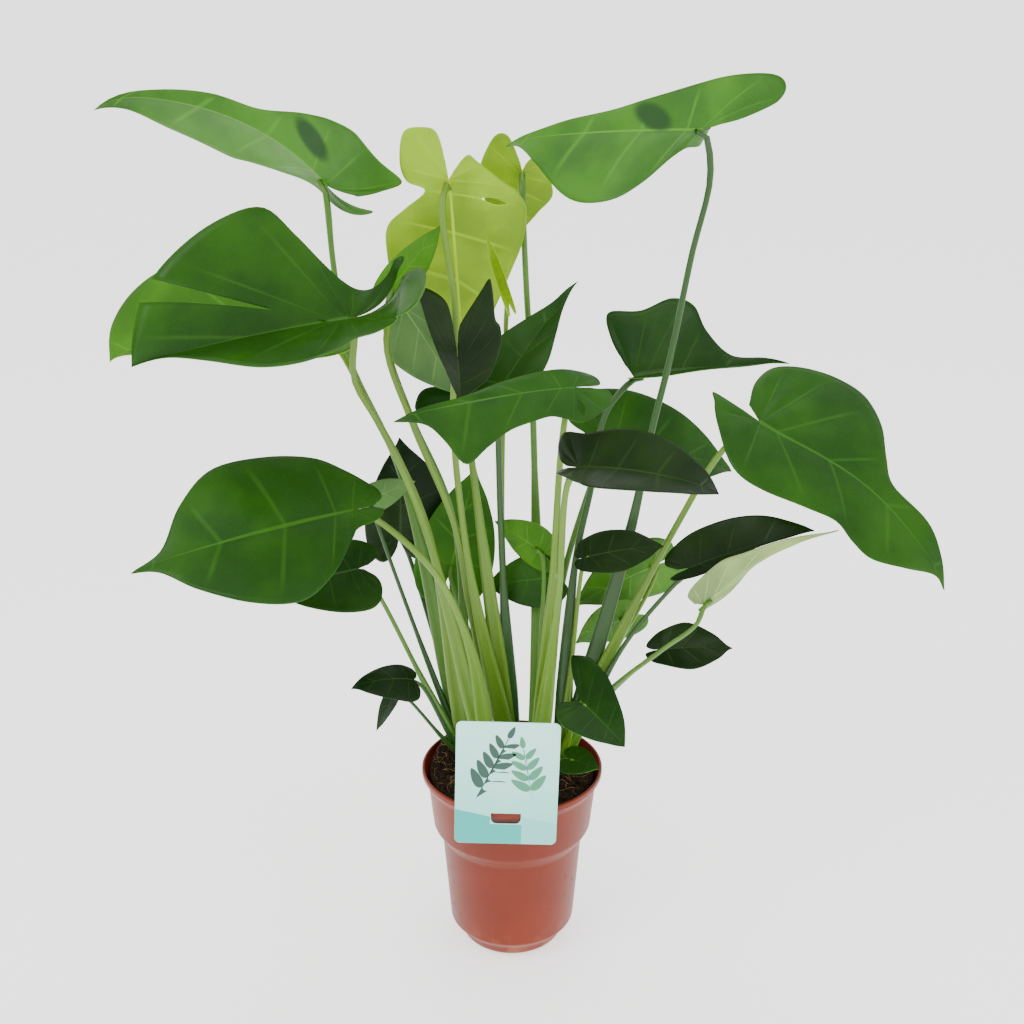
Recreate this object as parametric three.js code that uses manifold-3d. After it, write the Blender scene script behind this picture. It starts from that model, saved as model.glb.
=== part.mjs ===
// A potted swiss cheese plant: several seedlings in one nursery pot, with a hang-on label.
// Millimetres, +Z up, origin at the centre of the pot's base.
import * as THREE from 'three';
import { mergeVertices } from 'three/addons/utils/BufferGeometryUtils.js';
import Module from 'manifold-3d';

const wasm = await Module();
wasm.setup();

// Pot: outer profile from the lip down to the foot
const LIP_RADIUS = 95;
const LIP_HEIGHT = 7;
const LIP_FLARE = 8;
const LIP_WIDTH = 2.6;
const POT_HEIGHT = 206;
const COLLAR_TOP_RADIUS = 88.8;
const COLLAR_BOTTOM_RADIUS = 83.5;
const COLLAR_BOTTOM = 140;
const BODY_TOP_RADIUS = 74.5;
const BODY_TOP = 126;
const BODY_BOTTOM_RADIUS = 66.5;
const BODY_BOTTOM = 24;
const FOOT_TOP_RADIUS = 57;
const FOOT_TOP = 14;
const FOOT_RADIUS = 48;
const FOOT_BULGE = 54;
const FOOT_BULGE_HEIGHT = 5;
const LIP_ROUND = 1;
const WALL = 1.6;
const FLOOR = 2.6;
const POT_SIDES = 40;
const DRAIN_COUNT = 8;
const DRAIN_RADIUS = 5;
const DRAIN_CIRCLE = 34;
const DRAIN_SIDES = 12;
const GROOVE_WIDTH = 5;
const GROOVE_DEPTH = 1.1;
const GROOVE_LENGTH = 40;

// Gap that neighbouring pieces keep
const GAP = 0.3;

// After a cut, edges shorter than the first are closed up and triangles flatter than the second are turned
const SHORT_EDGE = 0.05;
const FLAT_TRIANGLE = 0.01;
const CLEAN_PASSES = 4;
const SHARED = -1;

// Soil: a crumbly disc that stands a little lower at the front than at the back
const SOIL_LEVEL = 198;
const SOIL_EDGE = 201;
const SOIL_ROUGHNESS = 1.6;
const MOUND_PLACE = [-56, 46];
const MOUND_HEIGHT = 18;
const MOUND_REACH = 26;
const SOIL_RINGS = 5;
const SOIL_SHOULDER = 190;
const SLOPE_CLEARANCE = 0.4;

// Label card and the tongue that hangs on the rim
const CARD_WIDTH = 102;
const CARD_TOP = 308;
const CARD_BOTTOM = 170;
const CARD_CORNER = 6;
const CARD_THICKNESS = 0.7;
const CARD_CENTRE_X = -6;
const CARD_ROLL = 1.6;
const TONGUE_WIDTH = 30;
const TONGUE_DROP = 5;
const TONGUE_BACK = 87.9;
const WINDOW_HEIGHT = 13;
const WINDOW_CORNER = 6;
const CORNER_STEPS = 4;
const CARD_LIFT = 0.5;

// Leaf blades
const BLADE_THICKNESS = 0.8;
const MIDRIB_STEPS = 24;
const CUT_SPREAD = 0.075;
const CURVE_LOBE = 0.26;
const SHORTEST_FOOT = 0.8;
const LARGE_BLADE = 150;
const BROAD_BLADE = 120;
const SMALL_BLADE = 90;

// Leaf stalks: a stalk runs a little way along the underside of its midrib, thickens into a knee below the
// blade and widens into a flat sheath towards its crown
const STALK_SIDES = 6;
const STALK_STEPS = 8;
const STALK_RADIUS = 2.8;
const STALK_TAPER = 0.5;
const STALK_RUN = 9;
const SINK = 0.6;
const KNEE_START = 0.9;
const KNEE_END = 0.99;
const KNEE_SWELL = 0.5;
const SHEATH_HALF = 9;
const SHEATH_PART = 0.5;
const SHEATH_SPREAD = 1.6;
const ROOT_NARROW = 0.7;
const ROOT_OFFSET = 8;
const ROOT_SHARE = 0.06;

// Crown stubs
const STUB_SIDES = 16;
const STUB_TAPER = 0.8;
const STUB_RADIUS = 12;
const STUB_DEPTH = 30;
const STUB_RISE = 14;

const DEGREE = Math.PI / 180;

const COLOURS = {
  pot: 0xa84f33,
  soil: 0x35241a,
  card: 0xbfeee2,
  stalk: 0x7fa63a,
  dark: 0x1f4a1c,
  mid: 0x2f6a1e,
  young: 0x8cb52c,
};

const ROUGHNESS = {
  pot: 0.45,
  soil: 0.95,
  card: 0.35,
  stalk: 0.45,
  dark: 0.35,
  mid: 0.35,
  young: 0.35,
};

// Half of a heart-shaped blade, from the notch where the stalk joins, round the rear lobe, to the tip.
// Each pair is [along the midrib, away from it] as fractions of the length and of the full width.
const HEART = [
  [-0.12, 0.03], [-0.24, 0.12], [-0.27, 0.26], [-0.14, 0.43], [0.14, 0.5],
  [0.45, 0.42], [0.72, 0.25], [0.9, 0.08], [1, 0],
];
// Where the side vein that ends at each outline point leaves the midrib
const FEET = [0, 0, 0, 0.01, 0.08, 0.28, 0.52, 0.8, 1];

// Every leaf. attach and tip are the ends of the midrib in millimetres and face is the direction that the
// upper side looks at. half gives the left and right half width in millimetres, seen along the midrib from
// the stalk with the upper side up. left and right are outlines other than HEART, with feet for their veins.
// In degrees: arch bends the midrib over its length, hook turns the drip tip down, fold lifts each half, curl
// bends it further towards its margin and lobe lifts each rear lobe.
// rear stretches each rear lobe and bow sways the midrib sideways in millimetres. cuts are slits and holes:
// side, place along the outline, from and to across the half (1 is the margin), width in millimetres.
// via is the route of the stalk from the blade down to its crown, stalk its radius under the blade and
// sheath half the width of its sheathed base.
const LEAVES = [
  { name: 'top_left', crown: 'left', colour: 'mid', attach: [-180, 90, 795], tip: [-415, 150, 860],
    face: [0.1, 0.7, 0.7], half: [85, 85], arch: 60, hook: 45, fold: [28, 0], curl: [0, -10],
    lobe: [20, 40],
    left: [[-0.14, 0.08], [-0.22, 0.17], [-0.28, 0.25], [-0.19, 0.34], [-0.05, 0.42], [0.07, 0.36],
      [0.19, 0.27], [0.37, 0.13], [0.56, 0.1], [0.75, 0.06], [1, 0]],
    right: [[-0.08, 0.02], [-0.18, 0.07], [-0.12, 0.12], [0.06, 0.13], [0.27, 0.28], [0.42, 0.34],
      [0.54, 0.36], [0.74, 0.26], [0.89, 0.09], [1, 0]],
    via: [[-178, 100, 717], [-165, 84, 627], [-114, 62, 510]] },
  { name: 'top_right', crown: 'right', colour: 'mid', attach: [180, 70, 850], tip: [-5, -60, 850],
    face: [-0.15, 0.8, 0.6], half: [80, 80], arch: 10, hook: 20, fold: [35, 0], curl: [0, -20],
    lobe: [-10, 85],
    left: [[-0.06, 0.02], [-0.18, 0.09], [-0.3, 0.22], [-0.34, 0.32], [-0.29, 0.38], [-0.14, 0.34],
      [0.04, 0.27], [0.21, 0.2], [0.33, 0.16], [0.47, 0.12], [0.67, 0.08], [0.84, 0.03], [1, 0]],
    right: [[-0.04, 0.01], [-0.15, 0.05], [-0.18, 0.12], [-0.08, 0.15], [0.02, 0.14], [0.08, 0.2],
      [0.18, 0.38], [0.3, 0.49], [0.46, 0.5], [0.6, 0.42], [0.78, 0.2], [0.9, 0.06], [1, 0]],
    via: [[189, 67, 808], [173, 55, 734], [154, 38, 635], [138, 28, 566], [120, 16, 470]] },
  { name: 'upper_left_front', crown: 'front_left', colour: 'mid', attach: [-145, -40, 695],
    tip: [-335, -100, 665], face: [0, -0.55, 0.8], half: [105, 110], arch: 10, hook: 10, fold: [30, 30],
    curl: [0, 20], lobe: [38, 38],
    via: [[-147, -32, 635], [-128, -25, 593], [-105, -20, 540], [-81, -17, 465]],
    left: [[-0.15, 0.01], [-0.38, 0.05], [-0.46, 0.2], [-0.46, 0.42], [-0.38, 0.48], [-0.14, 0.28],
      [0.05, 0.28], [0.19, 0.41], [0.34, 0.48], [0.5, 0.42], [0.68, 0.2], [0.84, 0.04], [1, 0]],
    right: [[-0.15, 0.01], [-0.34, 0.04], [-0.35, 0.07], [-0.22, 0.075], [-0.1, 0.09], [0, 0.15],
      [0.08, 0.24], [0.18, 0.37], [0.3, 0.5], [0.5, 0.48], [0.7, 0.39], [0.85, 0.27], [0.95, 0.11],
      [1, 0]], feet: [0, 0, 0, 0.01, 0.02, 0.04, 0.07, 0.2, 1], cuts: [['right', 0.845, 0.3, 1, 22]] },
  { name: 'upper_left_back', crown: 'left', colour: 'young', attach: [-185, 45, 665], tip: [-385, 10, 640],
    face: [0, -0.4, 0.9], half: [55, 95], arch: 20, hook: 30, fold: [15, 15], curl: [-20, 0],
    rear: [0.5, 1],
    right: [[-0.08, 0.03], [-0.12, 0.12], [0, 0.2], [0.2, 0.3], [0.42, 0.42], [0.62, 0.48], [0.8, 0.4],
      [0.94, 0.2], [1, 0]], via: [[-168, 38, 645], [-138, 12, 595], [-108, 0, 540], [-82, 0, 465]] },
  { name: 'young_front', crown: 'middle', colour: 'young', attach: [-60, 60, 805], tip: [-50, 110, 630],
    face: [0, 1, 0.1], half: [70, 75], arch: 10, hook: 0, fold: [5, 5], curl: [-10, -10],
    left: [[-0.1, 0.012], [-0.26, 0.05], [-0.3, 0.14], [-0.28, 0.27], [-0.12, 0.32], [0, 0.29],
      [0.06, 0.17], [0.16, 0.32], [0.25, 0.45], [0.38, 0.48], [0.6, 0.45], [0.85, 0.28], [1, 0]],
    right: [[-0.05, 0.04], [-0.13, 0.13], [-0.09, 0.19], [0.03, 0.33], [0.09, 0.42], [0.19, 0.48],
      [0.38, 0.45], [0.56, 0.36], [0.8, 0.22], [0.92, 0.1], [1, 0]],
    via: [[-66, 44, 785], [-56, 42, 694], [-54, 40, 640], [-47, 40, 590], [-36, 24, 500]],
    cuts: [['right', 0.5, 0.4, 0.75, 8]] },
  { name: 'young_back', crown: 'front_right', colour: 'young', attach: [10, 120, 805], tip: [2, 150, 735],
    face: [0, 1, 0.2], half: [42, 42], arch: 10, hook: 0, fold: [5, 5], curl: [-10, -10],
    left: [[-0.1, 0.03], [-0.3, 0.11], [-0.49, 0.21], [-0.51, 0.33], [-0.35, 0.42], [0.06, 0.5],
      [0.5, 0.4], [0.8, 0.2], [1, 0]],
    right: [[-0.1, 0.03], [-0.19, 0.08], [-0.19, 0.17], [0, 0.3], [0.33, 0.4], [0.6, 0.26], [0.85, 0.12],
      [1, 0]], via: [[10, 103, 793], [14, 100, 700], [20, 95, 600], [25, 85, 450], [28, 30, 320]] },
  { name: 'centre_heart', crown: 'middle', colour: 'dark', attach: [-50, -40, 655], tip: [-46, -85, 628],
    face: [0, -0.8, 0.6], half: [46, 50], arch: 10, hook: 0, fold: [12, 12], curl: [20, 20], lobe: [10, 10],
    left: [[-0.3, 0.01], [-0.7, 0.04], [-0.95, 0.12], [-1.4, 0.32], [-1.57, 0.42], [-1.2, 0.44],
      [-0.65, 0.44], [-0.41, 0.49], [0.02, 0.47], [0.61, 0.32], [0.83, 0.12], [1, 0]],
    right: [[-0.3, 0.005], [-1.1, 0.04], [-1.4, 0.11], [-1.56, 0.26], [-1.45, 0.34], [-1, 0.3],
      [-0.5, 0.24], [0.3, 0.12], [0.7, 0.06], [1, 0]],
    via: [[-55, -25, 620], [-55, 0, 545], [-40, 5, 410]] },
  { name: 'centre_left', crown: 'middle', colour: 'mid', attach: [-107, 15, 699], tip: [-49, -20, 617],
    face: [0.2, 0.95, 0.1], half: [50, 50], arch: 10, hook: 0, fold: [5, 5], curl: [0, 0],
    left: [[-0.05, 0.05], [-0.02, 0.18], [0.06, 0.28], [0.2, 0.38], [0.37, 0.44], [0.58, 0.36],
      [0.73, 0.26], [0.92, 0.09], [1, 0]],
    right: [[-0.05, 0.08], [0, 0.17], [0.1, 0.18], [0.35, 0.13], [0.69, 0.06], [0.85, 0.03], [1, 0]],
    via: [[-119, 0, 662], [-96, 3, 580], [-58, 8, 477], [-40, 14, 378]] },
  { name: 'centre_right', crown: 'middle', colour: 'dark', attach: [-15, 20, 605], tip: [65, 90, 700],
    face: [-0.3, -0.8, 0.5], half: [67, 32], arch: 10, hook: 30, fold: [10, 10], curl: [0, 0],
    left: [[-0.1, 0.03], [-0.23, 0.13], [-0.38, 0.41], [-0.3, 0.49], [-0.2, 0.46], [-0.08, 0.28],
      [0.1, 0.26], [0.35, 0.22], [0.55, 0.136], [0.75, 0.05], [0.9, 0.02], [1, 0]],
    right: [[-0.1, 0.05], [-0.2, 0.2], [-0.15, 0.4], [0.1, 0.5], [0.35, 0.45], [0.55, 0.3], [0.75, 0.12],
      [0.9, 0.04], [1, 0]], via: [[-14, 25, 580], [-10, 25, 430]] },
  { name: 'centre_front', crown: 'front_right', colour: 'mid', attach: [55, -95, 645],
    tip: [-100, -165, 635], face: [0.2, -0.6, 0.7], half: [80, 60], arch: 20, hook: 20, fold: [0, 0],
    curl: [0, -20], lobe: [0, -15],
    left: [[-0.1, 0.01], [-0.21, 0.04], [-0.19, 0.12], [-0.09, 0.18], [0.03, 0.23], [0.11, 0.2],
      [0.2, 0.17], [0.32, 0.19], [0.46, 0.22], [0.6, 0.29], [0.74, 0.36], [0.8, 0.2], [0.86, 0.08],
      [1, 0]],
    right: [[-0.1, 0.01], [-0.21, 0.05], [-0.19, 0.12], [-0.07, 0.16], [0.1, 0.17], [0.4, 0.12],
      [0.62, 0.05], [0.85, 0.03], [1, 0]], via: [[50, -68, 618], [46, -35, 560], [40, -25, 430]],
    cuts: [['left', 0.3, 0.3, 0.85, 16]] },
  { name: 'right_upper', crown: 'right', colour: 'dark', attach: [125, 100, 600], tip: [275, 60, 625],
    face: [0, -0.5, 0.8], half: [70, 35], arch: 10, hook: 10, fold: [40, 40], curl: [0, 0],
    left: [[-0.05, 0.1], [-0.12, 0.3], [-0.12, 0.5], [0.1, 0.47], [0.3, 0.53], [0.43, 0.46], [0.5, 0.26],
      [0.64, 0.08], [0.85, 0.04], [1, 0]],
    right: [[-0.04, 0.02], [-0.02, 0.1], [0.05, 0.3], [0.3, 0.45], [0.6, 0.3], [0.85, 0.1], [1, 0]],
    via: [[110, 90, 586], [94, 76, 565], [80, 42, 500], [64, 15, 430]] },
  { name: 'right_front', crown: 'front_right', colour: 'dark', attach: [60, -110, 575],
    tip: [170, -220, 590], face: [0, -0.5, 0.85], half: [60, 50], arch: 20, hook: 20, fold: [25, 15],
    curl: [0, 0],
    left: [[-0.12, 0.015], [-0.2, 0.08], [-0.27, 0.21], [-0.24, 0.31], [-0.05, 0.3], [0.19, 0.33],
      [0.43, 0.31], [0.64, 0.25], [0.86, 0.12], [1, 0]],
    right: [[-0.08, 0.01], [-0.15, 0.05], [-0.1, 0.14], [0.02, 0.22], [0.2, 0.34], [0.37, 0.42],
      [0.67, 0.31], [0.89, 0.19], [1, 0]], via: [[52, -100, 560], [45, -50, 420]] },
  { name: 'right_inner', crown: 'front_right', colour: 'mid', attach: [96, 110, 529], tip: [238, 150, 480],
    face: [0, -0.7, 0.7], half: [58, 50], arch: 20, hook: 20, fold: [15, 15], curl: [0, 0],
    via: [[90, 105, 505], [55, 60, 400]] },
  { name: 'right_large', crown: 'right', colour: 'mid', attach: [235, -20, 590], tip: [400, -110, 455],
    face: [0.35, -0.7, 0.6], half: [95, 80], arch: 10, hook: 40, fold: [5, 5], curl: [-10, -15], bow: 20,
    left: [[-0.08, 0.04], [-0.13, 0.18], [-0.12, 0.33], [-0.02, 0.46], [0.09, 0.52], [0.22, 0.5],
      [0.36, 0.37], [0.47, 0.21], [0.57, 0.11], [0.76, 0.12], [0.88, 0.07], [1, 0]],
    right: [[-0.1, 0.008], [-0.22, 0.03], [-0.19, 0.09], [-0.12, 0.2], [0.06, 0.39], [0.21, 0.43],
      [0.38, 0.39], [0.5, 0.34], [0.6, 0.36], [0.7, 0.34], [0.82, 0.19], [0.92, 0.03], [1, 0]],
    via: [[205, -10, 560], [165, 0, 480], [100, 5, 330]] },
  { name: 'right_low_dark', crown: 'right', colour: 'dark', attach: [174, -34, 445], tip: [290, -45, 488],
    face: [-0.2, -0.6, 0.8], half: [36, 24], arch: 20, hook: 10, fold: [20, 5], curl: [0, 0],
    left: [[-0.1, 0.04], [-0.18, 0.15], [-0.15, 0.29], [0.01, 0.4], [0.19, 0.46], [0.43, 0.45],
      [0.68, 0.34], [0.89, 0.14], [1, 0]],
    right: [[-0.12, 0.02], [-0.18, 0.08], [-0.1, 0.2], [0.08, 0.27], [0.33, 0.18], [0.58, 0.07],
      [0.85, 0.03], [1, 0]], stalk: 2, sheath: 5, via: [[164, -30, 430], [115, -8, 350]] },
  { name: 'right_low_pale', crown: 'right', colour: 'mid', attach: [183, -75, 424], tip: [312, -50, 491],
    face: [-0.1, 0.9, 0.3], half: [30, 34], arch: 10, hook: 10, fold: [10, 10], curl: [0, 0], bow: -12,
    left: [[-0.05, 0.03], [-0.02, 0.12], [0.12, 0.2], [0.28, 0.16], [0.42, 0.06], [0.7, 0.03],
      [0.88, 0.02], [1, 0]],
    right: [[-0.05, 0.1], [-0.06, 0.28], [0.06, 0.4], [0.22, 0.38], [0.4, 0.24], [0.65, 0.12],
      [0.85, 0.05], [1, 0]], stalk: 2, sheath: 5, via: [[176, -84, 408], [145, -68, 372], [95, -25, 300]] },
  { name: 'right_small', crown: 'right', colour: 'dark', attach: [151, -15, 347], tip: [220, -35, 358],
    face: [-0.1, -0.6, 0.8], half: [28, 28], arch: 15, hook: 20, fold: [10, 10], curl: [0, 0],
    left: [[-0.12, 0.01], [-0.22, 0.08], [-0.16, 0.22], [0, 0.36], [0.36, 0.48], [0.71, 0.27], [0.9, 0.07],
      [1, 0]],
    right: [[-0.12, 0.01], [-0.22, 0.08], [-0.14, 0.22], [0.04, 0.34], [0.48, 0.48], [0.8, 0.28],
      [0.93, 0.07], [1, 0]], stalk: 1.8, sheath: 4, via: [[138, -12, 334], [90, -8, 280]] },
  { name: 'pot_right', crown: 'right', colour: 'dark', attach: [70, -70, 315], tip: [108, -120, 295],
    face: [0.2, -0.7, 0.6], half: [36, 30], arch: 15, hook: 20, fold: [10, 10], curl: [0, 0],
    left: [[-0.15, 0.03], [-0.5, 0.18], [-0.78, 0.34], [-0.84, 0.44], [-0.6, 0.56], [-0.25, 0.54],
      [-0.08, 0.52], [0.33, 0.38], [0.7, 0.22], [1, 0]],
    right: [[-0.12, 0.1], [-0.2, 0.3], [-0.09, 0.48], [0.1, 0.56], [0.31, 0.57], [0.66, 0.38],
      [0.88, 0.16], [1, 0]], stalk: 2, sheath: 5, via: [[66, -60, 300], [58, -25, 250]] },
  { name: 'back_centre_upper', crown: 'front_right', colour: 'young', attach: [31, 26, 436],
    tip: [-18, 48, 462], face: [0, 0.9, 0.4], half: [30, 26], arch: 10, hook: 10, fold: [0, 0],
    curl: [0, 0], stalk: 2, sheath: 5, via: [[32, 16, 416], [28, -8, 320]] },
  { name: 'back_centre_lower', crown: 'front_right', colour: 'mid', attach: [38, 40, 402],
    tip: [-28, 50, 390], face: [0, -0.9, 0.4], half: [30, 28], arch: 10, hook: 10, fold: [0, 0],
    curl: [0, 0], stalk: 2, sheath: 5, via: [[48, 37, 389], [32, 5, 290]] },
  { name: 'back_left_dark', crown: 'left', colour: 'dark', attach: [-120, 100, 425], tip: [-118, 110, 532],
    face: [0.2, -0.8, 0.3], half: [38, 60], arch: 15, hook: 10, fold: [5, 5], curl: [0, 0], stalk: 2.2,
    sheath: 6, via: [[-112, 112, 398], [-75, 50, 300]] },
  { name: 'behind_heart', crown: 'left', colour: 'mid', attach: [-143, 30, 492], tip: [-97, 35, 510],
    face: [0, 0.8, 0.5], half: [22, 22], arch: 10, hook: 10, fold: [0, 0], curl: [0, 0], stalk: 1.8,
    sheath: 4, via: [[-138, 22, 478], [-100, 25, 350]] },
  { name: 'left_heart', crown: 'front_left', colour: 'mid', attach: [-150, -60, 515],
    tip: [-345, -130, 480], face: [0.1, -0.65, 0.75], half: [85, 80], arch: 15, hook: 20, fold: [12, 12],
    curl: [-10, -20],
    left: [[-0.1, 0.004], [-0.135, 0.04], [-0.09, 0.1], [0.01, 0.13], [0.06, 0.2], [0.2, 0.39],
      [0.36, 0.49], [0.56, 0.42], [0.75, 0.25], [0.88, 0.07], [1, 0]],
    right: [[-0.1, 0.004], [-0.145, 0.04], [-0.14, 0.1], [-0.1, 0.16], [-0.02, 0.26], [0.1, 0.39],
      [0.3, 0.47], [0.54, 0.47], [0.72, 0.29], [0.85, 0.06], [1, 0]],
    via: [[-132, -38, 498], [-90, -40, 461], [-65, -38, 424], [-40, -28, 347]] },
  { name: 'left_low', crown: 'left', colour: 'dark', attach: [-152, -20, 438], tip: [-240, -60, 428],
    face: [0, -0.6, 0.8], half: [50, 38], arch: 10, hook: 20, fold: [0, 0], curl: [0, 0],
    left: [[-0.06, 0.02], [-0.15, 0.13], [-0.16, 0.27], [-0.08, 0.42], [0.08, 0.49], [0.34, 0.44],
      [0.65, 0.28], [0.88, 0.08], [1, 0]], stalk: 2, sheath: 5, via: [[-140, -20, 423], [-90, 0, 300]] },
  { name: 'left_small', crown: 'left', colour: 'dark', attach: [-99, -52, 332], tip: [-158, -70, 331],
    face: [0, -0.5, 0.85], half: [25, 20], arch: 50, hook: 30, fold: [0, 0], curl: [-20, -20],
    rear: [0.4, 0.4], stalk: 1.8, sheath: 4, via: [[-91, -45, 322], [-66, -20, 255]] },
  { name: 'soil_right', crown: 'right', colour: 'dark', attach: [58, -45, 238], tip: [88, -70, 241],
    face: [0, -0.6, 0.8], half: [17, 17], arch: 10, hook: 10, fold: [0, 0], curl: [0, 0], stalk: 1.6,
    sheath: 4, via: [[56, -30, 228]] },
  { name: 'right_mid_dark', crown: 'right', colour: 'dark', attach: [72, -8, 445], tip: [148, -28, 465],
    face: [0, -0.6, 0.8], half: [28, 28], arch: 20, hook: 10, fold: [0, 0], curl: [0, 0],
    left: [[-0.1, 0.01], [-0.14, 0.1], [-0.12, 0.26], [-0.04, 0.38], [0.22, 0.47], [0.61, 0.37],
      [0.88, 0.13], [1, 0]],
    right: [[-0.1, 0.01], [-0.14, 0.08], [-0.08, 0.22], [0.1, 0.34], [0.49, 0.44], [0.79, 0.26],
      [0.93, 0.08], [1, 0]], stalk: 2, sheath: 5, via: [[70, 0, 428], [62, 5, 330]] },
  { name: 'right_mid_bright', crown: 'right', colour: 'young', attach: [152, 66, 406], tip: [66, 74, 354],
    face: [0, 0.9, 0.4], half: [44, 42], arch: 10, hook: 10, fold: [0, 0], curl: [0, 0], stalk: 2,
    sheath: 5, via: [[146, 54, 388], [95, 25, 300]] },
  { name: 'right_mid_low', crown: 'right', colour: 'mid', attach: [122, 58, 350], tip: [68, 62, 316],
    face: [0, 0.9, 0.4], half: [30, 30], arch: 10, hook: 10, fold: [0, 0], curl: [0, 0], stalk: 1.8,
    sheath: 4, via: [[116, 46, 336], [80, 20, 270]] },
  { name: 'mid_left', crown: 'middle', colour: 'mid', attach: [-66, 75, 392], tip: [-38, 100, 502],
    face: [0, 0.8, 0.3], half: [44, 40], arch: 10, hook: 10, fold: [0, 0], curl: [0, 0], stalk: 2,
    sheath: 5, via: [[-60, 60, 377], [-30, 30, 300]] },
  { name: 'behind_front_lobe', crown: 'left', colour: 'mid', attach: [-115, 50, 706], tip: [-67, 58, 763],
    face: [0.4, -0.7, 0.5], half: [17, 20], arch: 10, hook: 10, fold: [10, 10], curl: [0, 0], stalk: 2.2,
    sheath: 6, via: [[-120, 40, 685], [-121, 36, 650], [-99, 30, 580], [-60, 26, 477]] },
  { name: 'rolled_new', crown: 'middle', colour: 'young', attach: [-5, 66, 690], tip: [-25, 70, 750],
    face: [0, -1, 0.2], half: [10, 10], arch: 0, hook: 0, fold: [30, 30], curl: [60, 60], stalk: 2,
    sheath: 5, via: [[-6, 72, 662], [-10, 68, 430]] },
  { name: 'left_hanging', crown: 'left', colour: 'dark', attach: [-116, -62, 322], tip: [-135, -66, 282],
    face: [-0.7, -0.7, 0.3], half: [10, 10], arch: 10, hook: 0, fold: [10, 10], curl: [0, 0],
    rear: [0.4, 0.4], stalk: 1.5, sheath: 3.5, via: [[-108, -55, 316], [-72, -22, 250]] },
];

// Seedlings: where each crown stands in the soil
const CROWNS = {
  left: [-45, 6],
  front_left: [-20, -18],
  middle: [2, 16],
  front_right: [24, -16],
  right: [50, 8],
};

// Value of a smooth curve through evenly spaced numbers
function smooth(values, t) {
  const last = values.length - 1;
  const place = Math.min(Math.max(t, 0), 1) * last;
  const i = Math.min(Math.floor(place), last - 1);
  const w = place - i;
  const p1 = values[i];
  const p2 = values[i + 1];
  const p0 = i > 0 ? values[i - 1] : 2 * p1 - p2;
  const p3 = i < last - 1 ? values[i + 2] : 2 * p2 - p1;
  const v0 = (p2 - p0) / 2;
  const v1 = (p3 - p1) / 2;
  return (2 * p1 - 2 * p2 + v0 + v1) * w ** 3 + (-3 * p1 + 3 * p2 - 2 * v0 - v1) * w ** 2 + v0 * w + p1;
}

// Bent midrib of unit length, turned so that its ends lie on the X axis
function bentMidrib(arch, hook) {
  const points = [[0, 0, 0]];
  const slopeAt = (q) => arch * (0.5 - q) - hook * Math.max(0, (q - 0.8) / 0.2) ** 1.5;
  for (let i = 1; i <= MIDRIB_STEPS; i += 1) {
    const slope = slopeAt((i - 0.5) / MIDRIB_STEPS) * DEGREE;
    const [x, z] = points[i - 1];
    points.push([x + Math.cos(slope) / MIDRIB_STEPS, z + Math.sin(slope) / MIDRIB_STEPS, 0]);
  }
  const [endX, endZ] = points[MIDRIB_STEPS];
  const chord = Math.hypot(endX, endZ);
  const turn = Math.atan2(endZ, endX);
  const turned = points.map(([x, z], i) => [
    (x * Math.cos(turn) + z * Math.sin(turn)) / chord,
    (z * Math.cos(turn) - x * Math.sin(turn)) / chord,
    slopeAt(i / MIDRIB_STEPS) * DEGREE - turn,
  ]);
  return { turned, stretch: 1 / chord };
}

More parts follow.
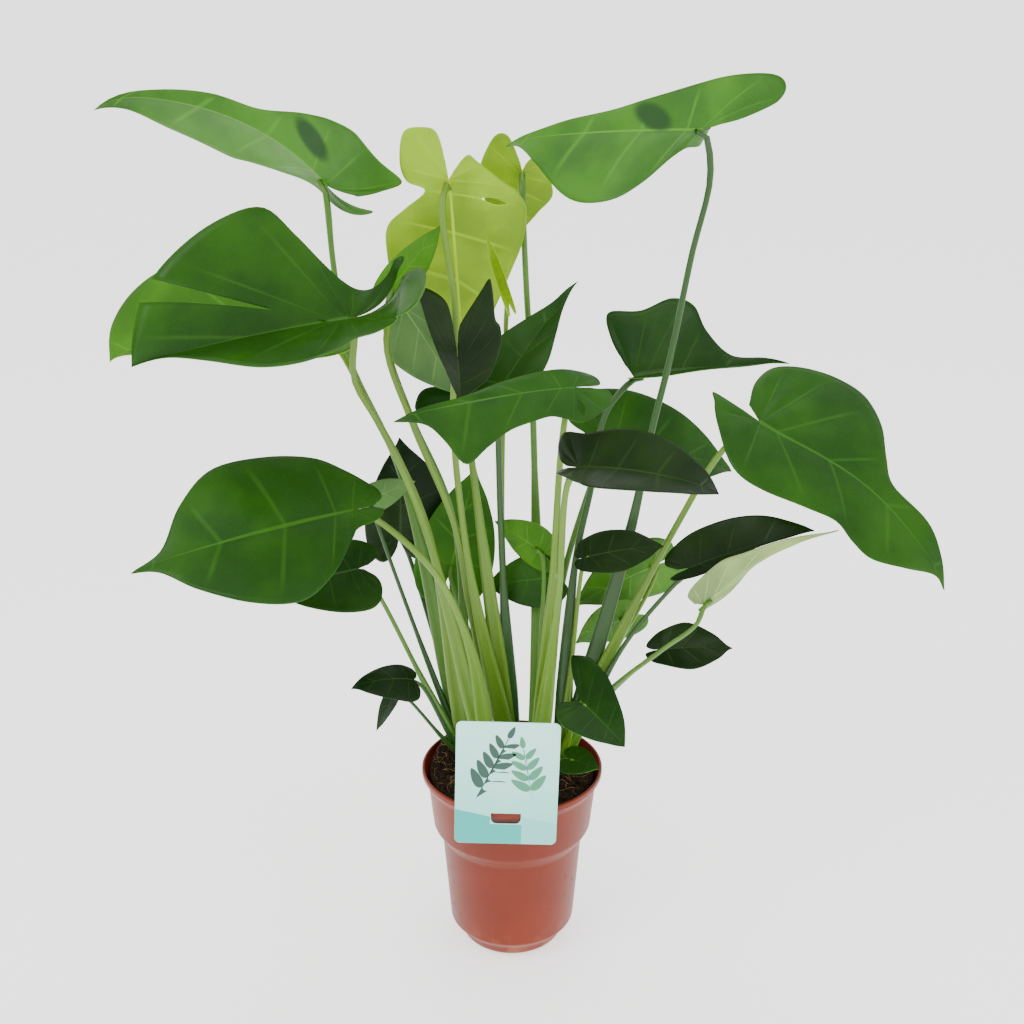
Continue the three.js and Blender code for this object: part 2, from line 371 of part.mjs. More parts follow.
// Blade as a function of the side, the place along the outline (0 notch, 1 tip) and the place from the
// midrib (0) to the margin (1)
function bladeSurface(leaf) {
  const attach = new THREE.Vector3(...leaf.attach);
  const along = new THREE.Vector3(...leaf.tip).sub(attach);
  const chord = along.length();
  const ex = along.normalize();
  const ez = new THREE.Vector3(...leaf.face);
  ez.addScaledVector(ex, -ez.dot(ex)).normalize();
  const ey = new THREE.Vector3().crossVectors(ez, ex);
  const { turned, stretch } = bentMidrib(leaf.arch ?? 0, leaf.hook ?? 0);
  const length = chord * stretch;
  const rear = leaf.rear ?? [1, 1];
  const fold = leaf.fold ?? [0, 0];
  const curl = leaf.curl ?? [0, 0];
  const lobe = leaf.lobe ?? [0, 0];
  const sides = ['left', 'right'].map((side, k) => {
    const edge = leaf[side] ?? HEART;
    const feet = leaf.feet ?? FEET;
    return {
      sign: k === 0 ? 1 : -1,
      u: edge.map(([u]) => (u < 0 ? u * rear[k] : u) * length),
      w: edge.map(([, w]) => w * 2 * leaf.half[k]),
      feet: feet.map((q) => q * length),
      half: leaf.half[k],
      fold: fold[k] * DEGREE,
      curl: curl[k] * DEGREE,
      lobe: lobe[k] * DEGREE,
      cuts: (leaf.cuts ?? [])
        .filter(([name]) => name === side)
        .map(([, at, from, to, gap]) => ({ at, from, to, gap })),
    };
  });

  function opening(cut, r) {
    if (r <= cut.from || (cut.to < 1 && r >= cut.to)) return 0;
    const part = (r - cut.from) / (cut.to - cut.from);
    return cut.gap / 2 * (cut.to < 1 ? Math.sin(Math.PI * part) : part ** 0.8);
  }

  function point(k, t, r, shift = 0) {
    const side = sides[k];
    let at = t;
    for (const cut of side.cuts) {
      const off = t - cut.at;
      const towards = off === 0 ? shift : Math.sign(off);
      if (Math.abs(off) < CUT_SPREAD && towards !== 0) {
        const speed = Math.hypot(smooth(side.u, cut.at + 0.01) - smooth(side.u, cut.at - 0.01),
          smooth(side.w, cut.at + 0.01) - smooth(side.w, cut.at - 0.01)) / 0.02;
        const push = Math.min(opening(cut, r) / speed, 0.8 * CUT_SPREAD);
        at = cut.at + towards * (push + Math.abs(off) * (1 - push / CUT_SPREAD));
      }
    }
    const rawFoot = smooth(side.feet, at);
    const foot = rawFoot < SHORTEST_FOOT ? 0 : rawFoot;
    const u = foot + (smooth(side.u, at) - foot) * r;
    const w = Math.max(0, smooth(side.w, at)) * r;
    return place(k, u, w);
  }

  // Where a point of the flat blade goes: u along the midrib, w away from it
  function place(k, u, w) {
    const side = sides[k];
    const q = u / length;
    let x;
    let z;
    let slope;
    if (q < 0) {
      const down = -turned[0][2] + side.lobe * Math.min(1.2, -q / CURVE_LOBE);
      x = u * Math.cos(down);
      z = -u * Math.sin(down);
      slope = -down;
    } else {
      const step = Math.min(q, 1) * MIDRIB_STEPS;
      const i = Math.min(Math.floor(step), MIDRIB_STEPS - 1);
      const [x0, z0, s0] = turned[i];
      const [x1, z1, s1] = turned[i + 1];
      x = (x0 + (x1 - x0) * (step - i)) * chord;
      z = (z0 + (z1 - z0) * (step - i)) * chord;
      slope = s0 + (s1 - s0) * (step - i);
    }
    const bend = side.curl / side.half;
    const start = side.fold;
    let lateral = w * Math.cos(start);
    let rise = w * Math.sin(start);
    if (Math.abs(side.curl) > 1e-3) {
      lateral = (Math.sin(start + bend * w) - Math.sin(start)) / bend;
      rise = (Math.cos(start) - Math.cos(start + bend * w)) / bend;
    }
    const sway = (leaf.bow ?? 0) * Math.sin(Math.PI * Math.min(Math.max(q, 0), 1)) ** 1.5;
    return attach.clone()
      .addScaledVector(ex, x - Math.sin(slope) * rise)
      .addScaledVector(ey, side.sign * lateral + sway)
      .addScaledVector(ez, z + Math.cos(slope) * rise);
  }
  return { sides, point, place, length, ex, ey, ez, attach };
}

// Triangles of one blade's middle surface, with both lips of every cut
function bladeSheet(leaf) {
  const surface = bladeSurface(leaf);
  const size = new THREE.Vector3(...leaf.attach).distanceTo(new THREE.Vector3(...leaf.tip));
  const columns = size > LARGE_BLADE ? 12 : size > SMALL_BLADE ? 9 : 7;
  const rows = leaf.cuts ? 4 : size > BROAD_BLADE ? 3 : 2;
  const points = [];
  const triangles = [];
  surface.sides.forEach((side, k) => {
    const stations = [];
    for (let j = 0; j <= columns; j += 1) stations.push({ t: j / columns, rows: null });
    for (const cut of side.cuts) {
      const j = Math.round(cut.at * columns);
      const marks = Array.from({ length: rows + 1 }, (_, i) => i / rows);
      marks[Math.max(1, Math.floor(cut.from * rows))] = cut.from;
      if (cut.to < 1) marks[Math.min(rows - 1, Math.ceil(cut.to * rows))] = cut.to;
      stations[j] = { t: cut.at, rows: marks, cut: true };
    }
    const column = (station, shift) => Array.from({ length: rows + 1 }, (_, i) => {
      const r = station.rows ? station.rows[i] : i / rows;
      points.push(surface.point(k, station.t, r, shift));
      return points.length - 1;
    });
    let before = column(stations[0], 1);
    for (let j = 1; j <= columns; j += 1) {
      const after = column(stations[j], -1);
      for (let i = 0; i < rows; i += 1) {
        const quad = k === 0
          ? [before[i], after[i], after[i + 1], before[i + 1]]
          : [before[i], before[i + 1], after[i + 1], after[i]];
        triangles.push([quad[0], quad[1], quad[2]], [quad[0], quad[2], quad[3]]);
      }
      before = stations[j].cut ? column(stations[j], 1) : after;
    }
  });
  return weld(points, triangles);
}

// Joins points that coincide and drops triangles that lost their area
function weld(points, triangles) {
  const seen = new Map();
  const kept = [];
  const index = points.map((p) => {
    const key = `${Math.round(p.x * 1000)},${Math.round(p.y * 1000)},${Math.round(p.z * 1000)}`;
    if (!seen.has(key)) {
      seen.set(key, kept.length);
      kept.push(p);
    }
    return seen.get(key);
  });
  const whole = triangles
    .map((corners) => corners.map((c) => index[c]))
    .filter(([a, b, c]) => a !== b && b !== c && c !== a);
  return { points: kept, triangles: whole };
}

// Closed solid of even thickness around a sheet
function thicken({ points, triangles }, thickness) {
  const normals = points.map(() => new THREE.Vector3());
  const edges = new Map();
  for (const [a, b, c] of triangles) {
    const cross = points[b].clone().sub(points[a]).cross(points[c].clone().sub(points[a]));
    for (const v of [a, b, c]) normals[v].add(cross);
    for (const [from, to] of [[a, b], [b, c], [c, a]]) {
      if (edges.has(`${to},${from}`)) edges.delete(`${to},${from}`);
      else edges.set(`${from},${to}`, [from, to]);
    }
  }
  const count = points.length;
  const positions = [];
  for (const side of [0.5, -0.5]) {
    points.forEach((p, i) => {
      const n = normals[i].clone().normalize();
      positions.push(...p.clone().addScaledVector(n, side * thickness).toArray());
    });
  }
  const faces = triangles.flatMap(([a, b, c]) => [a, b, c, a + count, c + count, b + count]);
  for (const [from, to] of edges.values()) {
    faces.push(to, from, from + count, to, from + count, to + count);
  }
  const geometry = new THREE.BufferGeometry();
  geometry.setAttribute('position', new THREE.Float32BufferAttribute(positions, 3));
  geometry.setIndex(faces);
  return geometry;
}

// Route of one stalk: from its crown, along its way points, into the underside of the blade and a little
// way along its midrib
function stalkRoute(leaf) {
  const [cx, cy] = CROWNS[leaf.crown];
  const { place, ez, attach } = bladeSurface(leaf);
  const ahead = place(0, STALK_RUN, 0).sub(attach).normalize();
  const up = ez.clone().addScaledVector(ahead, -ez.dot(ahead)).normalize();
  const start = new THREE.Vector3(cx, cy, SOIL_LEVEL + STUB_RISE / 2);
  const first = new THREE.Vector3(...leaf.via[leaf.via.length - 1]);
  const towards = first.clone().sub(start).setZ(0);
  start.addScaledVector(towards, Math.min(ROOT_SHARE, ROOT_OFFSET / (towards.length() + 1)));
  const under = attach.clone().addScaledVector(up, -SINK * topRadius(leaf));
  return [
    start,
    ...leaf.via.slice().reverse().map((p) => new THREE.Vector3(...p)),
    under,
    under.clone().addScaledVector(ahead, STALK_RUN),
  ];
}

function topRadius(leaf) {
  return leaf.stalk ?? STALK_RADIUS;
}

// Tube of changing oval section along a route. No section faces back down the tube.
function tube(route, sizeAt, steps) {
  const curve = new THREE.CatmullRomCurve3(route);
  const positions = [];
  const across = new THREE.Vector3(1, 0, 0);
  const before = new THREE.Vector3();
  for (let i = 0; i <= steps; i += 1) {
    const s = i / steps;
    const centre = curve.getPointAt(s);
    const ahead = curve.getTangentAt(s);
    if (i > 0) {
      const run = centre.clone().sub(before).normalize();
      if (ahead.dot(run) < 0) ahead.copy(run);
    }
    before.copy(centre);
    across.addScaledVector(ahead, -across.dot(ahead)).normalize();
    const deep = new THREE.Vector3().crossVectors(ahead, across);
    const [wide, thick] = sizeAt(s);
    for (let j = 0; j < STALK_SIDES; j += 1) {
      const angle = 2 * Math.PI * j / STALK_SIDES;
      positions.push(...centre.clone()
        .addScaledVector(across, wide * Math.cos(angle))
        .addScaledVector(deep, thick * Math.sin(angle)).toArray());
    }
  }
  const ends = [curve.getPointAt(0), curve.getPointAt(1)];
  for (const end of ends) positions.push(...end.toArray());
  const faces = [];
  const rings = steps + 1;
  for (let j = 0; j < STALK_SIDES; j += 1) {
    const next = (j + 1) % STALK_SIDES;
    for (let i = 0; i < steps; i += 1) {
      const low = i * STALK_SIDES;
      const high = low + STALK_SIDES;
      faces.push(low + j, low + next, high + next, low + j, high + next, high + j);
    }
    const top = steps * STALK_SIDES;
    faces.push(rings * STALK_SIDES, next, j, rings * STALK_SIDES + 1, top + j, top + next);
  }
  const geometry = new THREE.BufferGeometry();
  geometry.setAttribute('position', new THREE.Float32BufferAttribute(positions, 3));
  geometry.setIndex(faces);
  return geometry;
}

// Solid for cutting and joining
function solid(geometry) {
  let plain = geometry.clone();
  plain.deleteAttribute('normal');
  plain.deleteAttribute('uv');
  plain = mergeVertices(plain, 1e-4);
  return new wasm.Manifold(new wasm.Mesh({
    numProp: 3,
    vertProperties: new Float32Array(plain.attributes.position.array),
    triVerts: new Uint32Array(plain.index.array),
  }));
}

// Closes up the short edges of a mesh
function closeShortEdges(points, faces) {
  const home = points.map((_, i) => i);
  const find = (i) => (home[i] === i ? i : find(home[i]));
  for (const [a, b, c] of faces) {
    for (const [from, to] of [[a, b], [b, c], [c, a]]) {
      if (points[from].distanceTo(points[to]) < SHORT_EDGE) home[find(from)] = find(to);
    }
  }
  const kept = new Map();
  for (const face of faces) {
    const corners = face.map(find);
    if (new Set(corners).size < 3) continue;
    const key = corners.slice().sort((p, q) => p - q).join();
    if (kept.has(key)) kept.delete(key);
    else kept.set(key, corners);
  }
  return [...kept.values()];
}

// Turns the long edge of each flat triangle, so that it shares the area of its neighbour
function turnFlatTriangles(points, faces) {
  const owner = new Map();
  faces.forEach((face, i) => face.forEach((v, j) => owner.set(`${v},${face[(j + 1) % 3]}`, i)));
  const busy = new Set();
  faces.forEach((face, i) => {
    const lengths = face.map((v, j) => points[v].distanceTo(points[face[(j + 1) % 3]]));
    const long = lengths.indexOf(Math.max(...lengths));
    const [a, b, c] = [face[long], face[(long + 1) % 3], face[(long + 2) % 3]];
    const across = points[b].clone().sub(points[a]);
    const height = points[c].clone().sub(points[a]).cross(across).length() / across.length();
    const other = owner.get(`${b},${a}`);
    const far = faces[other].find((v) => v !== a && v !== b);
    if (height > FLAT_TRIANGLE || busy.has(i) || busy.has(other) || owner.has(`${c},${far}`)) return;
    for (const touched of [i, other]) {
      busy.add(touched);
      faces[touched].forEach((v, j) => busy.add(owner.get(`${faces[touched][(j + 1) % 3]},${v}`)));
    }
    owner.set(`${c},${far}`, i);
    owner.set(`${far},${c}`, other);
    faces[i] = [a, far, c];
    faces[other] = [far, b, c];
  });
  return faces;
}

// Leaves out the specks that closing an edge can pinch off, which share at most one edge with the rest
function largestPiece(faces) {
  const owner = new Map();
  faces.forEach((face, i) => face.forEach((v, j) => {
    const edge = `${v},${face[(j + 1) % 3]}`;
    owner.set(edge, owner.has(edge) ? SHARED : i);
  }));
  const seen = new Set();
  let largest = [];
  faces.forEach((_, start) => {
    if (seen.has(start)) return;
    const piece = [start];
    seen.add(start);
    for (const i of piece) {
      faces[i].forEach((v, j) => {
        const next = owner.get(`${faces[i][(j + 1) % 3]},${v}`);
        if (next === SHARED || seen.has(next)) return;
        seen.add(next);
        piece.push(next);
      });
    }
    if (piece.length > largest.length) largest = piece;
  });
  return largest.map((i) => faces[i]);
}

function fromSolid(body) {
  const { vertProperties, triVerts } = body.simplify(SHORT_EDGE).getMesh();
  const points = [];
  for (let i = 0; i < vertProperties.length; i += 3) {
    points.push(new THREE.Vector3().fromArray(vertProperties, i));
  }
  let faces = [];
  for (let i = 0; i < triVerts.length; i += 3) faces.push(Array.from(triVerts.slice(i, i + 3)));
  for (let pass = 0; pass < CLEAN_PASSES; pass += 1) {
    faces = turnFlatTriangles(points, closeShortEdges(points, faces));
  }
  const geometry = new THREE.BufferGeometry();
  geometry.setAttribute('position', new THREE.Float32BufferAttribute(vertProperties, 3));
  geometry.setIndex(largestPiece(faces).flat());
  return geometry;
}

function lathe(profile, sides) {
  const geometry = new THREE.LatheGeometry(profile.map(([r, z]) => new THREE.Vector2(r, z)), sides);
  geometry.rotateX(Math.PI / 2);
  return geometry;
}

function pot() {
  const lipBottom = POT_HEIGHT - LIP_HEIGHT;
  const collarTop = lipBottom - LIP_FLARE;
  const outer = [
    [0, 0],
    [FOOT_RADIUS, 0],
    [FOOT_BULGE, FOOT_BULGE_HEIGHT],
    [FOOT_TOP_RADIUS, FOOT_TOP],
    [BODY_BOTTOM_RADIUS, BODY_BOTTOM],
    [BODY_TOP_RADIUS, BODY_TOP],
    [COLLAR_BOTTOM_RADIUS, COLLAR_BOTTOM],
    [COLLAR_TOP_RADIUS, collarTop],
    [LIP_RADIUS - LIP_ROUND, lipBottom],
    [LIP_RADIUS, lipBottom + LIP_ROUND],
    [LIP_RADIUS, POT_HEIGHT - LIP_ROUND],
    [LIP_RADIUS - LIP_ROUND, POT_HEIGHT],
  ];
  const inner = [
    [LIP_RADIUS - LIP_WIDTH, POT_HEIGHT],
    [LIP_RADIUS - LIP_WIDTH - LIP_ROUND, lipBottom + LIP_ROUND],
    [COLLAR_TOP_RADIUS - WALL, collarTop - LIP_ROUND],
    [COLLAR_BOTTOM_RADIUS - WALL, COLLAR_BOTTOM],
    [BODY_TOP_RADIUS - WALL, BODY_TOP],
    [BODY_BOTTOM_RADIUS - WALL, BODY_BOTTOM],
    [FOOT_TOP_RADIUS - WALL, FOOT_TOP],
    [FOOT_RADIUS, FLOOR],
    [0, FLOOR],
  ];
  let body = solid(lathe([...outer, ...inner], POT_SIDES));
  for (let i = 0; i < DRAIN_COUNT; i += 1) {
    const angle = 2 * Math.PI * (i + 0.5) / DRAIN_COUNT;
    const hole = new THREE.CylinderGeometry(DRAIN_RADIUS, DRAIN_RADIUS, 4 * FLOOR, DRAIN_SIDES);
    hole.rotateX(Math.PI / 2);
    hole.translate(DRAIN_CIRCLE, 0, 0);
    const groove = new THREE.BoxGeometry(GROOVE_LENGTH, GROOVE_WIDTH, 2 * GROOVE_DEPTH);
    groove.translate(DRAIN_CIRCLE + GROOVE_LENGTH / 2, 0, 0);
    for (const cutter of [hole, groove]) {
      cutter.rotateZ(angle);
      body = body.subtract(solid(cutter));
    }
  }
  return fromSolid(body);
}

// Unevenness of the peat: a broad swell and a finer one across it
function crumbs(x, y) {
  const broad = Math.sin(0.31 * x + 1.3) * Math.sin(0.27 * y + 0.4);
  const fine = 0.6 * Math.sin(0.53 * x - 0.61 * y);
  return SOIL_ROUGHNESS * (broad + fine);
}

function soilTop(x, y) {
  const r = Math.hypot(x, y) / COLLAR_TOP_RADIUS;
  const away = Math.hypot(x - MOUND_PLACE[0], y - MOUND_PLACE[1]) / MOUND_REACH;
  const level = SOIL_LEVEL + (SOIL_EDGE - SOIL_LEVEL) * r * r + MOUND_HEIGHT * Math.exp(-away * away);
  return level + crumbs(x, y) * Math.min(1, 3 * (1 - r));
}

function soil() {
  const clear = WALL + GAP;
  const rim = COLLAR_TOP_RADIUS - clear - SLOPE_CLEARANCE;
  const profile = [
    [0, FLOOR + GAP],
    [FOOT_RADIUS - SLOPE_CLEARANCE, FLOOR + GAP],
    [FOOT_TOP_RADIUS - clear - SLOPE_CLEARANCE, FOOT_TOP],
    [BODY_BOTTOM_RADIUS - clear - SLOPE_CLEARANCE, BODY_BOTTOM],
    [BODY_TOP_RADIUS - clear, BODY_TOP],
    [COLLAR_BOTTOM_RADIUS - clear, COLLAR_BOTTOM + SLOPE_CLEARANCE],
    [rim, SOIL_SHOULDER],
  ];
  const floorPoints = profile.length;
  for (let i = SOIL_RINGS; i >= 0; i -= 1) profile.push([rim * i / SOIL_RINGS, SOIL_LEVEL]);
  const geometry = lathe(profile, POT_SIDES);
  const position = geometry.attributes.position;
  for (let i = 0; i < position.count; i += 1) {
    if (i % profile.length >= floorPoints) position.setZ(i, soilTop(position.getX(i), position.getY(i)));
  }
  let body = solid(geometry);
  for (const [x, y] of Object.values(CROWNS)) {
    const width = STUB_RADIUS + GAP;
    const hole = new THREE.CylinderGeometry(width, width, 2 * STUB_DEPTH, STUB_SIDES);
    hole.rotateX(Math.PI / 2);
    hole.translate(x, y, SOIL_LEVEL - GAP);
    body = body.subtract(solid(hole));
  }
  return fromSolid(body);
}

function label() {
  const half = CARD_WIDTH / 2;
  const shape = new THREE.Shape();
  const r = CARD_CORNER;
  shape.moveTo(-half + r, CARD_BOTTOM);
  shape.lineTo(half - r, CARD_BOTTOM);
  shape.absarc(half - r, CARD_BOTTOM + r, r, -Math.PI / 2, 0);
  shape.lineTo(half, CARD_TOP - r);
  shape.absarc(half - r, CARD_TOP - r, r, 0, Math.PI / 2);
  shape.lineTo(-half + r, CARD_TOP);
  shape.absarc(-half + r, CARD_TOP - r, r, Math.PI / 2, Math.PI);
  shape.lineTo(-half, CARD_BOTTOM + r);
  shape.absarc(-half + r, CARD_BOTTOM + r, r, Math.PI, 1.5 * Math.PI);
  const hang = POT_HEIGHT + GAP;
  const w = TONGUE_WIDTH / 2;
  const low = hang - WINDOW_HEIGHT + WINDOW_CORNER;
  const window = new THREE.Path();
  window.moveTo(-w, hang);
  window.lineTo(w, hang);
  window.absarc(w - WINDOW_CORNER, low, WINDOW_CORNER, 0, -Math.PI / 2, true);
  window.absarc(-w + WINDOW_CORNER, low, WINDOW_CORNER, -Math.PI / 2, -Math.PI, true);
  shape.holes.push(window);
  const sheet = { depth: CARD_THICKNESS, bevelEnabled: false, curveSegments: CORNER_STEPS };
  const card = new THREE.ExtrudeGeometry(shape, sheet);
  card.rotateX(Math.PI / 2);
  card.translate(0, -LIP_RADIUS - GAP, 0);

  // Tongue: over the rim and down behind it
  const back = -TONGUE_BACK;
  const front = -LIP_RADIUS - GAP - CARD_THICKNESS / 2;
  const bridge = new THREE.BoxGeometry(TONGUE_WIDTH, back - front, CARD_THICKNESS);
  bridge.translate(0, (back + front) / 2, hang + CARD_THICKNESS / 2);
  const drop = new THREE.BoxGeometry(TONGUE_WIDTH, CARD_THICKNESS, TONGUE_DROP + CARD_THICKNESS);
  drop.translate(0, back, hang + CARD_THICKNESS - (TONGUE_DROP + CARD_THICKNESS) / 2);
  const geometry = fromSolid(solid(card).add(solid(bridge)).add(solid(drop)));
  geometry.translate(0, 0, -hang);
  geometry.rotateY(CARD_ROLL * DEGREE);
  geometry.translate(CARD_CENTRE_X, 0, hang + CARD_LIFT);
  return geometry;
}

// Half width and half depth of a stalk at the part s of its way up
function stalkSize(leaf, s) {
  const top = topRadius(leaf);
  const plain = top * (1 + STALK_TAPER * (1 - s));
  const low = Math.min(1, SHEATH_SPREAD * Math.max(0, 1 - s / SHEATH_PART));
  const knee = s > KNEE_START
    ? KNEE_SWELL * Math.sin(Math.PI * Math.min(1, (s - KNEE_START) / (KNEE_END - KNEE_START)))
    : 0;
  const sheath = plain + Math.max(0, (leaf.sheath ?? SHEATH_HALF) - plain) * low;
  return [(s === 0 ? ROOT_NARROW : 1) * sheath + knee, plain + knee];
}

// One seedling: a stub in the soil with every stalk that grows from it. The blades are cut out of it, and
// the shavings of the stalks that would stick out above a blade are left off.
function crown(name) {
  const [x, y] = CROWNS[name];
  const height = STUB_DEPTH + STUB_RISE;
  const stub = new THREE.CylinderGeometry(STUB_RADIUS * STUB_TAPER, STUB_RADIUS, height, STUB_SIDES);
  stub.rotateX(Math.PI / 2);
  stub.translate(x, y, SOIL_LEVEL + (STUB_RISE - STUB_DEPTH) / 2);
  let body = solid(stub);
  for (const leaf of LEAVES.filter((each) => each.crown === name)) {
    body = body.add(solid(tube(stalkRoute(leaf), (s) => stalkSize(leaf, s), STALK_STEPS)));
  }
  for (const leaf of LEAVES) {
    body = body.subtract(solid(thicken(bladeSheet(leaf), BLADE_THICKNESS + 2 * GAP)));
  }
  const bits = body.decompose();
  return fromSolid(bits.reduce((best, each) => (each.volume() > best.volume() ? each : best)));
}

function piece(name, geometry, colour) {
  const roughness = ROUGHNESS[colour];
  const material = new THREE.MeshStandardMaterial({ color: COLOURS[colour], roughness, metalness: 0 });
  const mesh = new THREE.Mesh(geometry, material);
  mesh.name = name;
  return mesh;
}

const group = new THREE.Group();
group.add(piece('pot', pot(), 'pot'));
group.add(piece('soil', soil(), 'soil'));
group.add(piece('label', label(), 'card'));
for (const name of Object.keys(CROWNS)) group.add(piece(`crown_${name}`, crown(name), 'stalk'));
for (const leaf of LEAVES) {
  const blade = thicken(bladeSheet(leaf), BLADE_THICKNESS);
  group.add(piece(`blade_${leaf.name}`, blade, leaf.colour));
}

export default group;
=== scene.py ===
"""A potted swiss cheese plant: leaf blades, stalks, peat, nursery pot and hang-on card.

The blades, stalks and pot follow the same rules and the same driving sizes as the CAD nodes that they
replace, on finer meshes. Sizes in the tables are millimetres, every mesh is in metres.
"""
import math

import bmesh
import bpy
import numpy as np
from mathutils import Euler, Matrix, Vector


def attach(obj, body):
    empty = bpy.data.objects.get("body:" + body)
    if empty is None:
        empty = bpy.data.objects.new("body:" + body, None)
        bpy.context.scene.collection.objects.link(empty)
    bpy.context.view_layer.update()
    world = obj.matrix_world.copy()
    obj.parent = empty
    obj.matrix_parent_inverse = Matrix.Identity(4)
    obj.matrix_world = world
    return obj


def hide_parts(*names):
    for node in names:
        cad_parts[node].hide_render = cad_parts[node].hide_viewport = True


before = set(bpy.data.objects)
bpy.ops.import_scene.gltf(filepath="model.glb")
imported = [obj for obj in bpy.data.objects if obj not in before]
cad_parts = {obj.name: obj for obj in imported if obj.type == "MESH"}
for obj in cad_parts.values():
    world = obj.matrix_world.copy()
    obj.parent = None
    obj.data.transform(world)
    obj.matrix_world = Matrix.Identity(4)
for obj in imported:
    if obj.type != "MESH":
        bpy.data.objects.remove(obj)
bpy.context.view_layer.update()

MM = 0.001
DEGREE = math.pi / 180

# Pot: outer profile from the lip down to the foot
LIP_RADIUS = 95
LIP_HEIGHT = 7
LIP_FLARE = 8
LIP_WIDTH = 2.6
LIP_ROUND = 1
POT_HEIGHT = 206
COLLAR_TOP_RADIUS = 88.8
COLLAR_BOTTOM_RADIUS = 83.5
COLLAR_BOTTOM = 140
BODY_TOP_RADIUS = 74.5
BODY_TOP = 126
BODY_BOTTOM_RADIUS = 66.5
BODY_BOTTOM = 24
FOOT_TOP_RADIUS = 57
FOOT_TOP = 14
FOOT_RADIUS = 48
FOOT_BULGE = 54
FOOT_BULGE_HEIGHT = 5
WALL = 1.6
FLOOR = 2.6
DRAIN_COUNT = 8
DRAIN_RADIUS = 5
DRAIN_CIRCLE = 34
GROOVE_WIDTH = 5
GROOVE_DEPTH = 1.1
GROOVE_LENGTH = 40
POT_SIDES = 160
POT_ROUNDING = 2.2
POT_SHARP_ANGLE = 40

# Between pieces that touch
GAP = 0.3

# Peat
SOIL_LEVEL = 198
SOIL_EDGE = 201
SOIL_ROUGHNESS = 1.6
MOUND_PLACE = (-56, 46)
MOUND_HEIGHT = 18
MOUND_REACH = 26
SOIL_SHOULDER = 190
SLOPE_CLEARANCE = 0.4
SOIL_RINGS = 46
SOIL_SIDES = 120
PEAT_SEED = 11
CRUMBS = 2400
FIBRES = 240
FIBRE_SIDES = 4
FIBRE_STEPS = 7
FIBRE_CLEAR = 4
FIBRE_RETURN = 0.96

# Card and the tongue that hangs on the rim
CARD_WIDTH = 102
CARD_TOP = 308
CARD_BOTTOM = 170
CARD_CORNER = 6
CARD_THICKNESS = 0.7
CARD_CENTRE_X = -6
CARD_ROLL = 1.6
TONGUE_WIDTH = 30
TONGUE_DROP = 5
TONGUE_BACK = 87.9
WINDOW_HEIGHT = 13
WINDOW_CORNER = 6
CARD_LIFT = 0.5
TONGUE_BEND = 1.5
TONGUE_TUCK = 1.2
PRINT_LIFT = 0.06
PRINT_CLEAR = 0.8
BAND_HEIGHT = 207
BAND_DROP = 11
BAND_WAVE = 2.2

INKS = {"teal": 0x1fb3ab, "pale": 0x7fdcd0, "dark": 0x1d4a3a, "green": 0x3f8f6a}

# Blades
BLADE_THICKNESS = 0.6
MIDRIB_STEPS = 48
CUT_SPREAD = 0.075
CUT_LIMIT = 0.8
SLIT_POWER = 0.8
CUT_STEP = 0.01
CURVE_LOBE = 0.26
LOBE_LIMIT = 1.2
HOOK_START = 0.8
HOOK_POWER = 1.5
SHORTEST_FOOT = 0.8
BLADE_ROWS = 14
BLADE_COLUMNS = 72
SMALL_COLUMNS = 48
SMALL_CHORD = 120
SIDE_VEINS = 7
QUILTING = 0.9
QUILTING_START = 12
QUILTING_END = 0.2
MARGIN_WAVE = 0.8
MARGIN_WAVES = 3.3
RELIEF_LENGTH = 150

# Stalks
STALK_SIDES = 16
STALK_STEPS = 44
STALK_TAPER = 0.5
STALK_RUN = 9
TANGENT_STEP = 0.004
GROOVE_FADE = 0.2
SHEATH_GROOVE = 0.55
STALK_GROOVE = 0.12
GROOVE_SPREAD = 0.5
SINK = 1.1
KNEE_START = 0.9
KNEE_END = 0.99
KNEE_SWELL = 0.5
SHEATH_PART = 0.5
SHEATH_SPREAD = 1.6
ROOT_NARROW = 0.7
ROOT_OFFSET = 8
ROOT_SHARE = 0.06
STUB_RADIUS = 12
STUB_TAPER = 0.8
STUB_DEPTH = 30
STUB_RISE = 14
STUB_SIDES = 32

# Surroundings, in metres and degrees
STAGE_SIZE = 600
STAGE_DROP = 0.0005
FLOOR_GLOW = 1.1
WORLD_GLOW = 1.25
LIGHT_TARGET = (0, 0, 0.5)
CAMERA_PLACE = (0, -1.34, 1.002)
CAMERA_PITCH = 20.9
FOCAL_PIXELS = 1453
PICTURE_PIXELS = 1024
SENSOR = 36

CROWNS = {
    "left": (-45, 6),
    "front_left": (-20, -18),
    "middle": (2, 16),
    "front_right": (24, -16),
    "right": (50, 8),
}

HEART = [-12, 3, -24, 12, -27, 26, -14, 43, 14, 50, 45, 42, 72, 25, 90, 8, 100, 0]

# What a leaf has unless its row says otherwise
LEAF = {
    "arch": 10, "hook": 10, "fold": [0, 0], "curl": [0, 0], "lobe": [0, 0], "rear": [1, 1], "bow": 0,
    "left": HEART, "right": HEART, "feet": [0, 0, 0, 0.01, 0.08, 0.28, 0.52, 0.8, 1], "cuts": [],
    "stalk": 2.8, "sheath": 9, "stem": "bright",
}

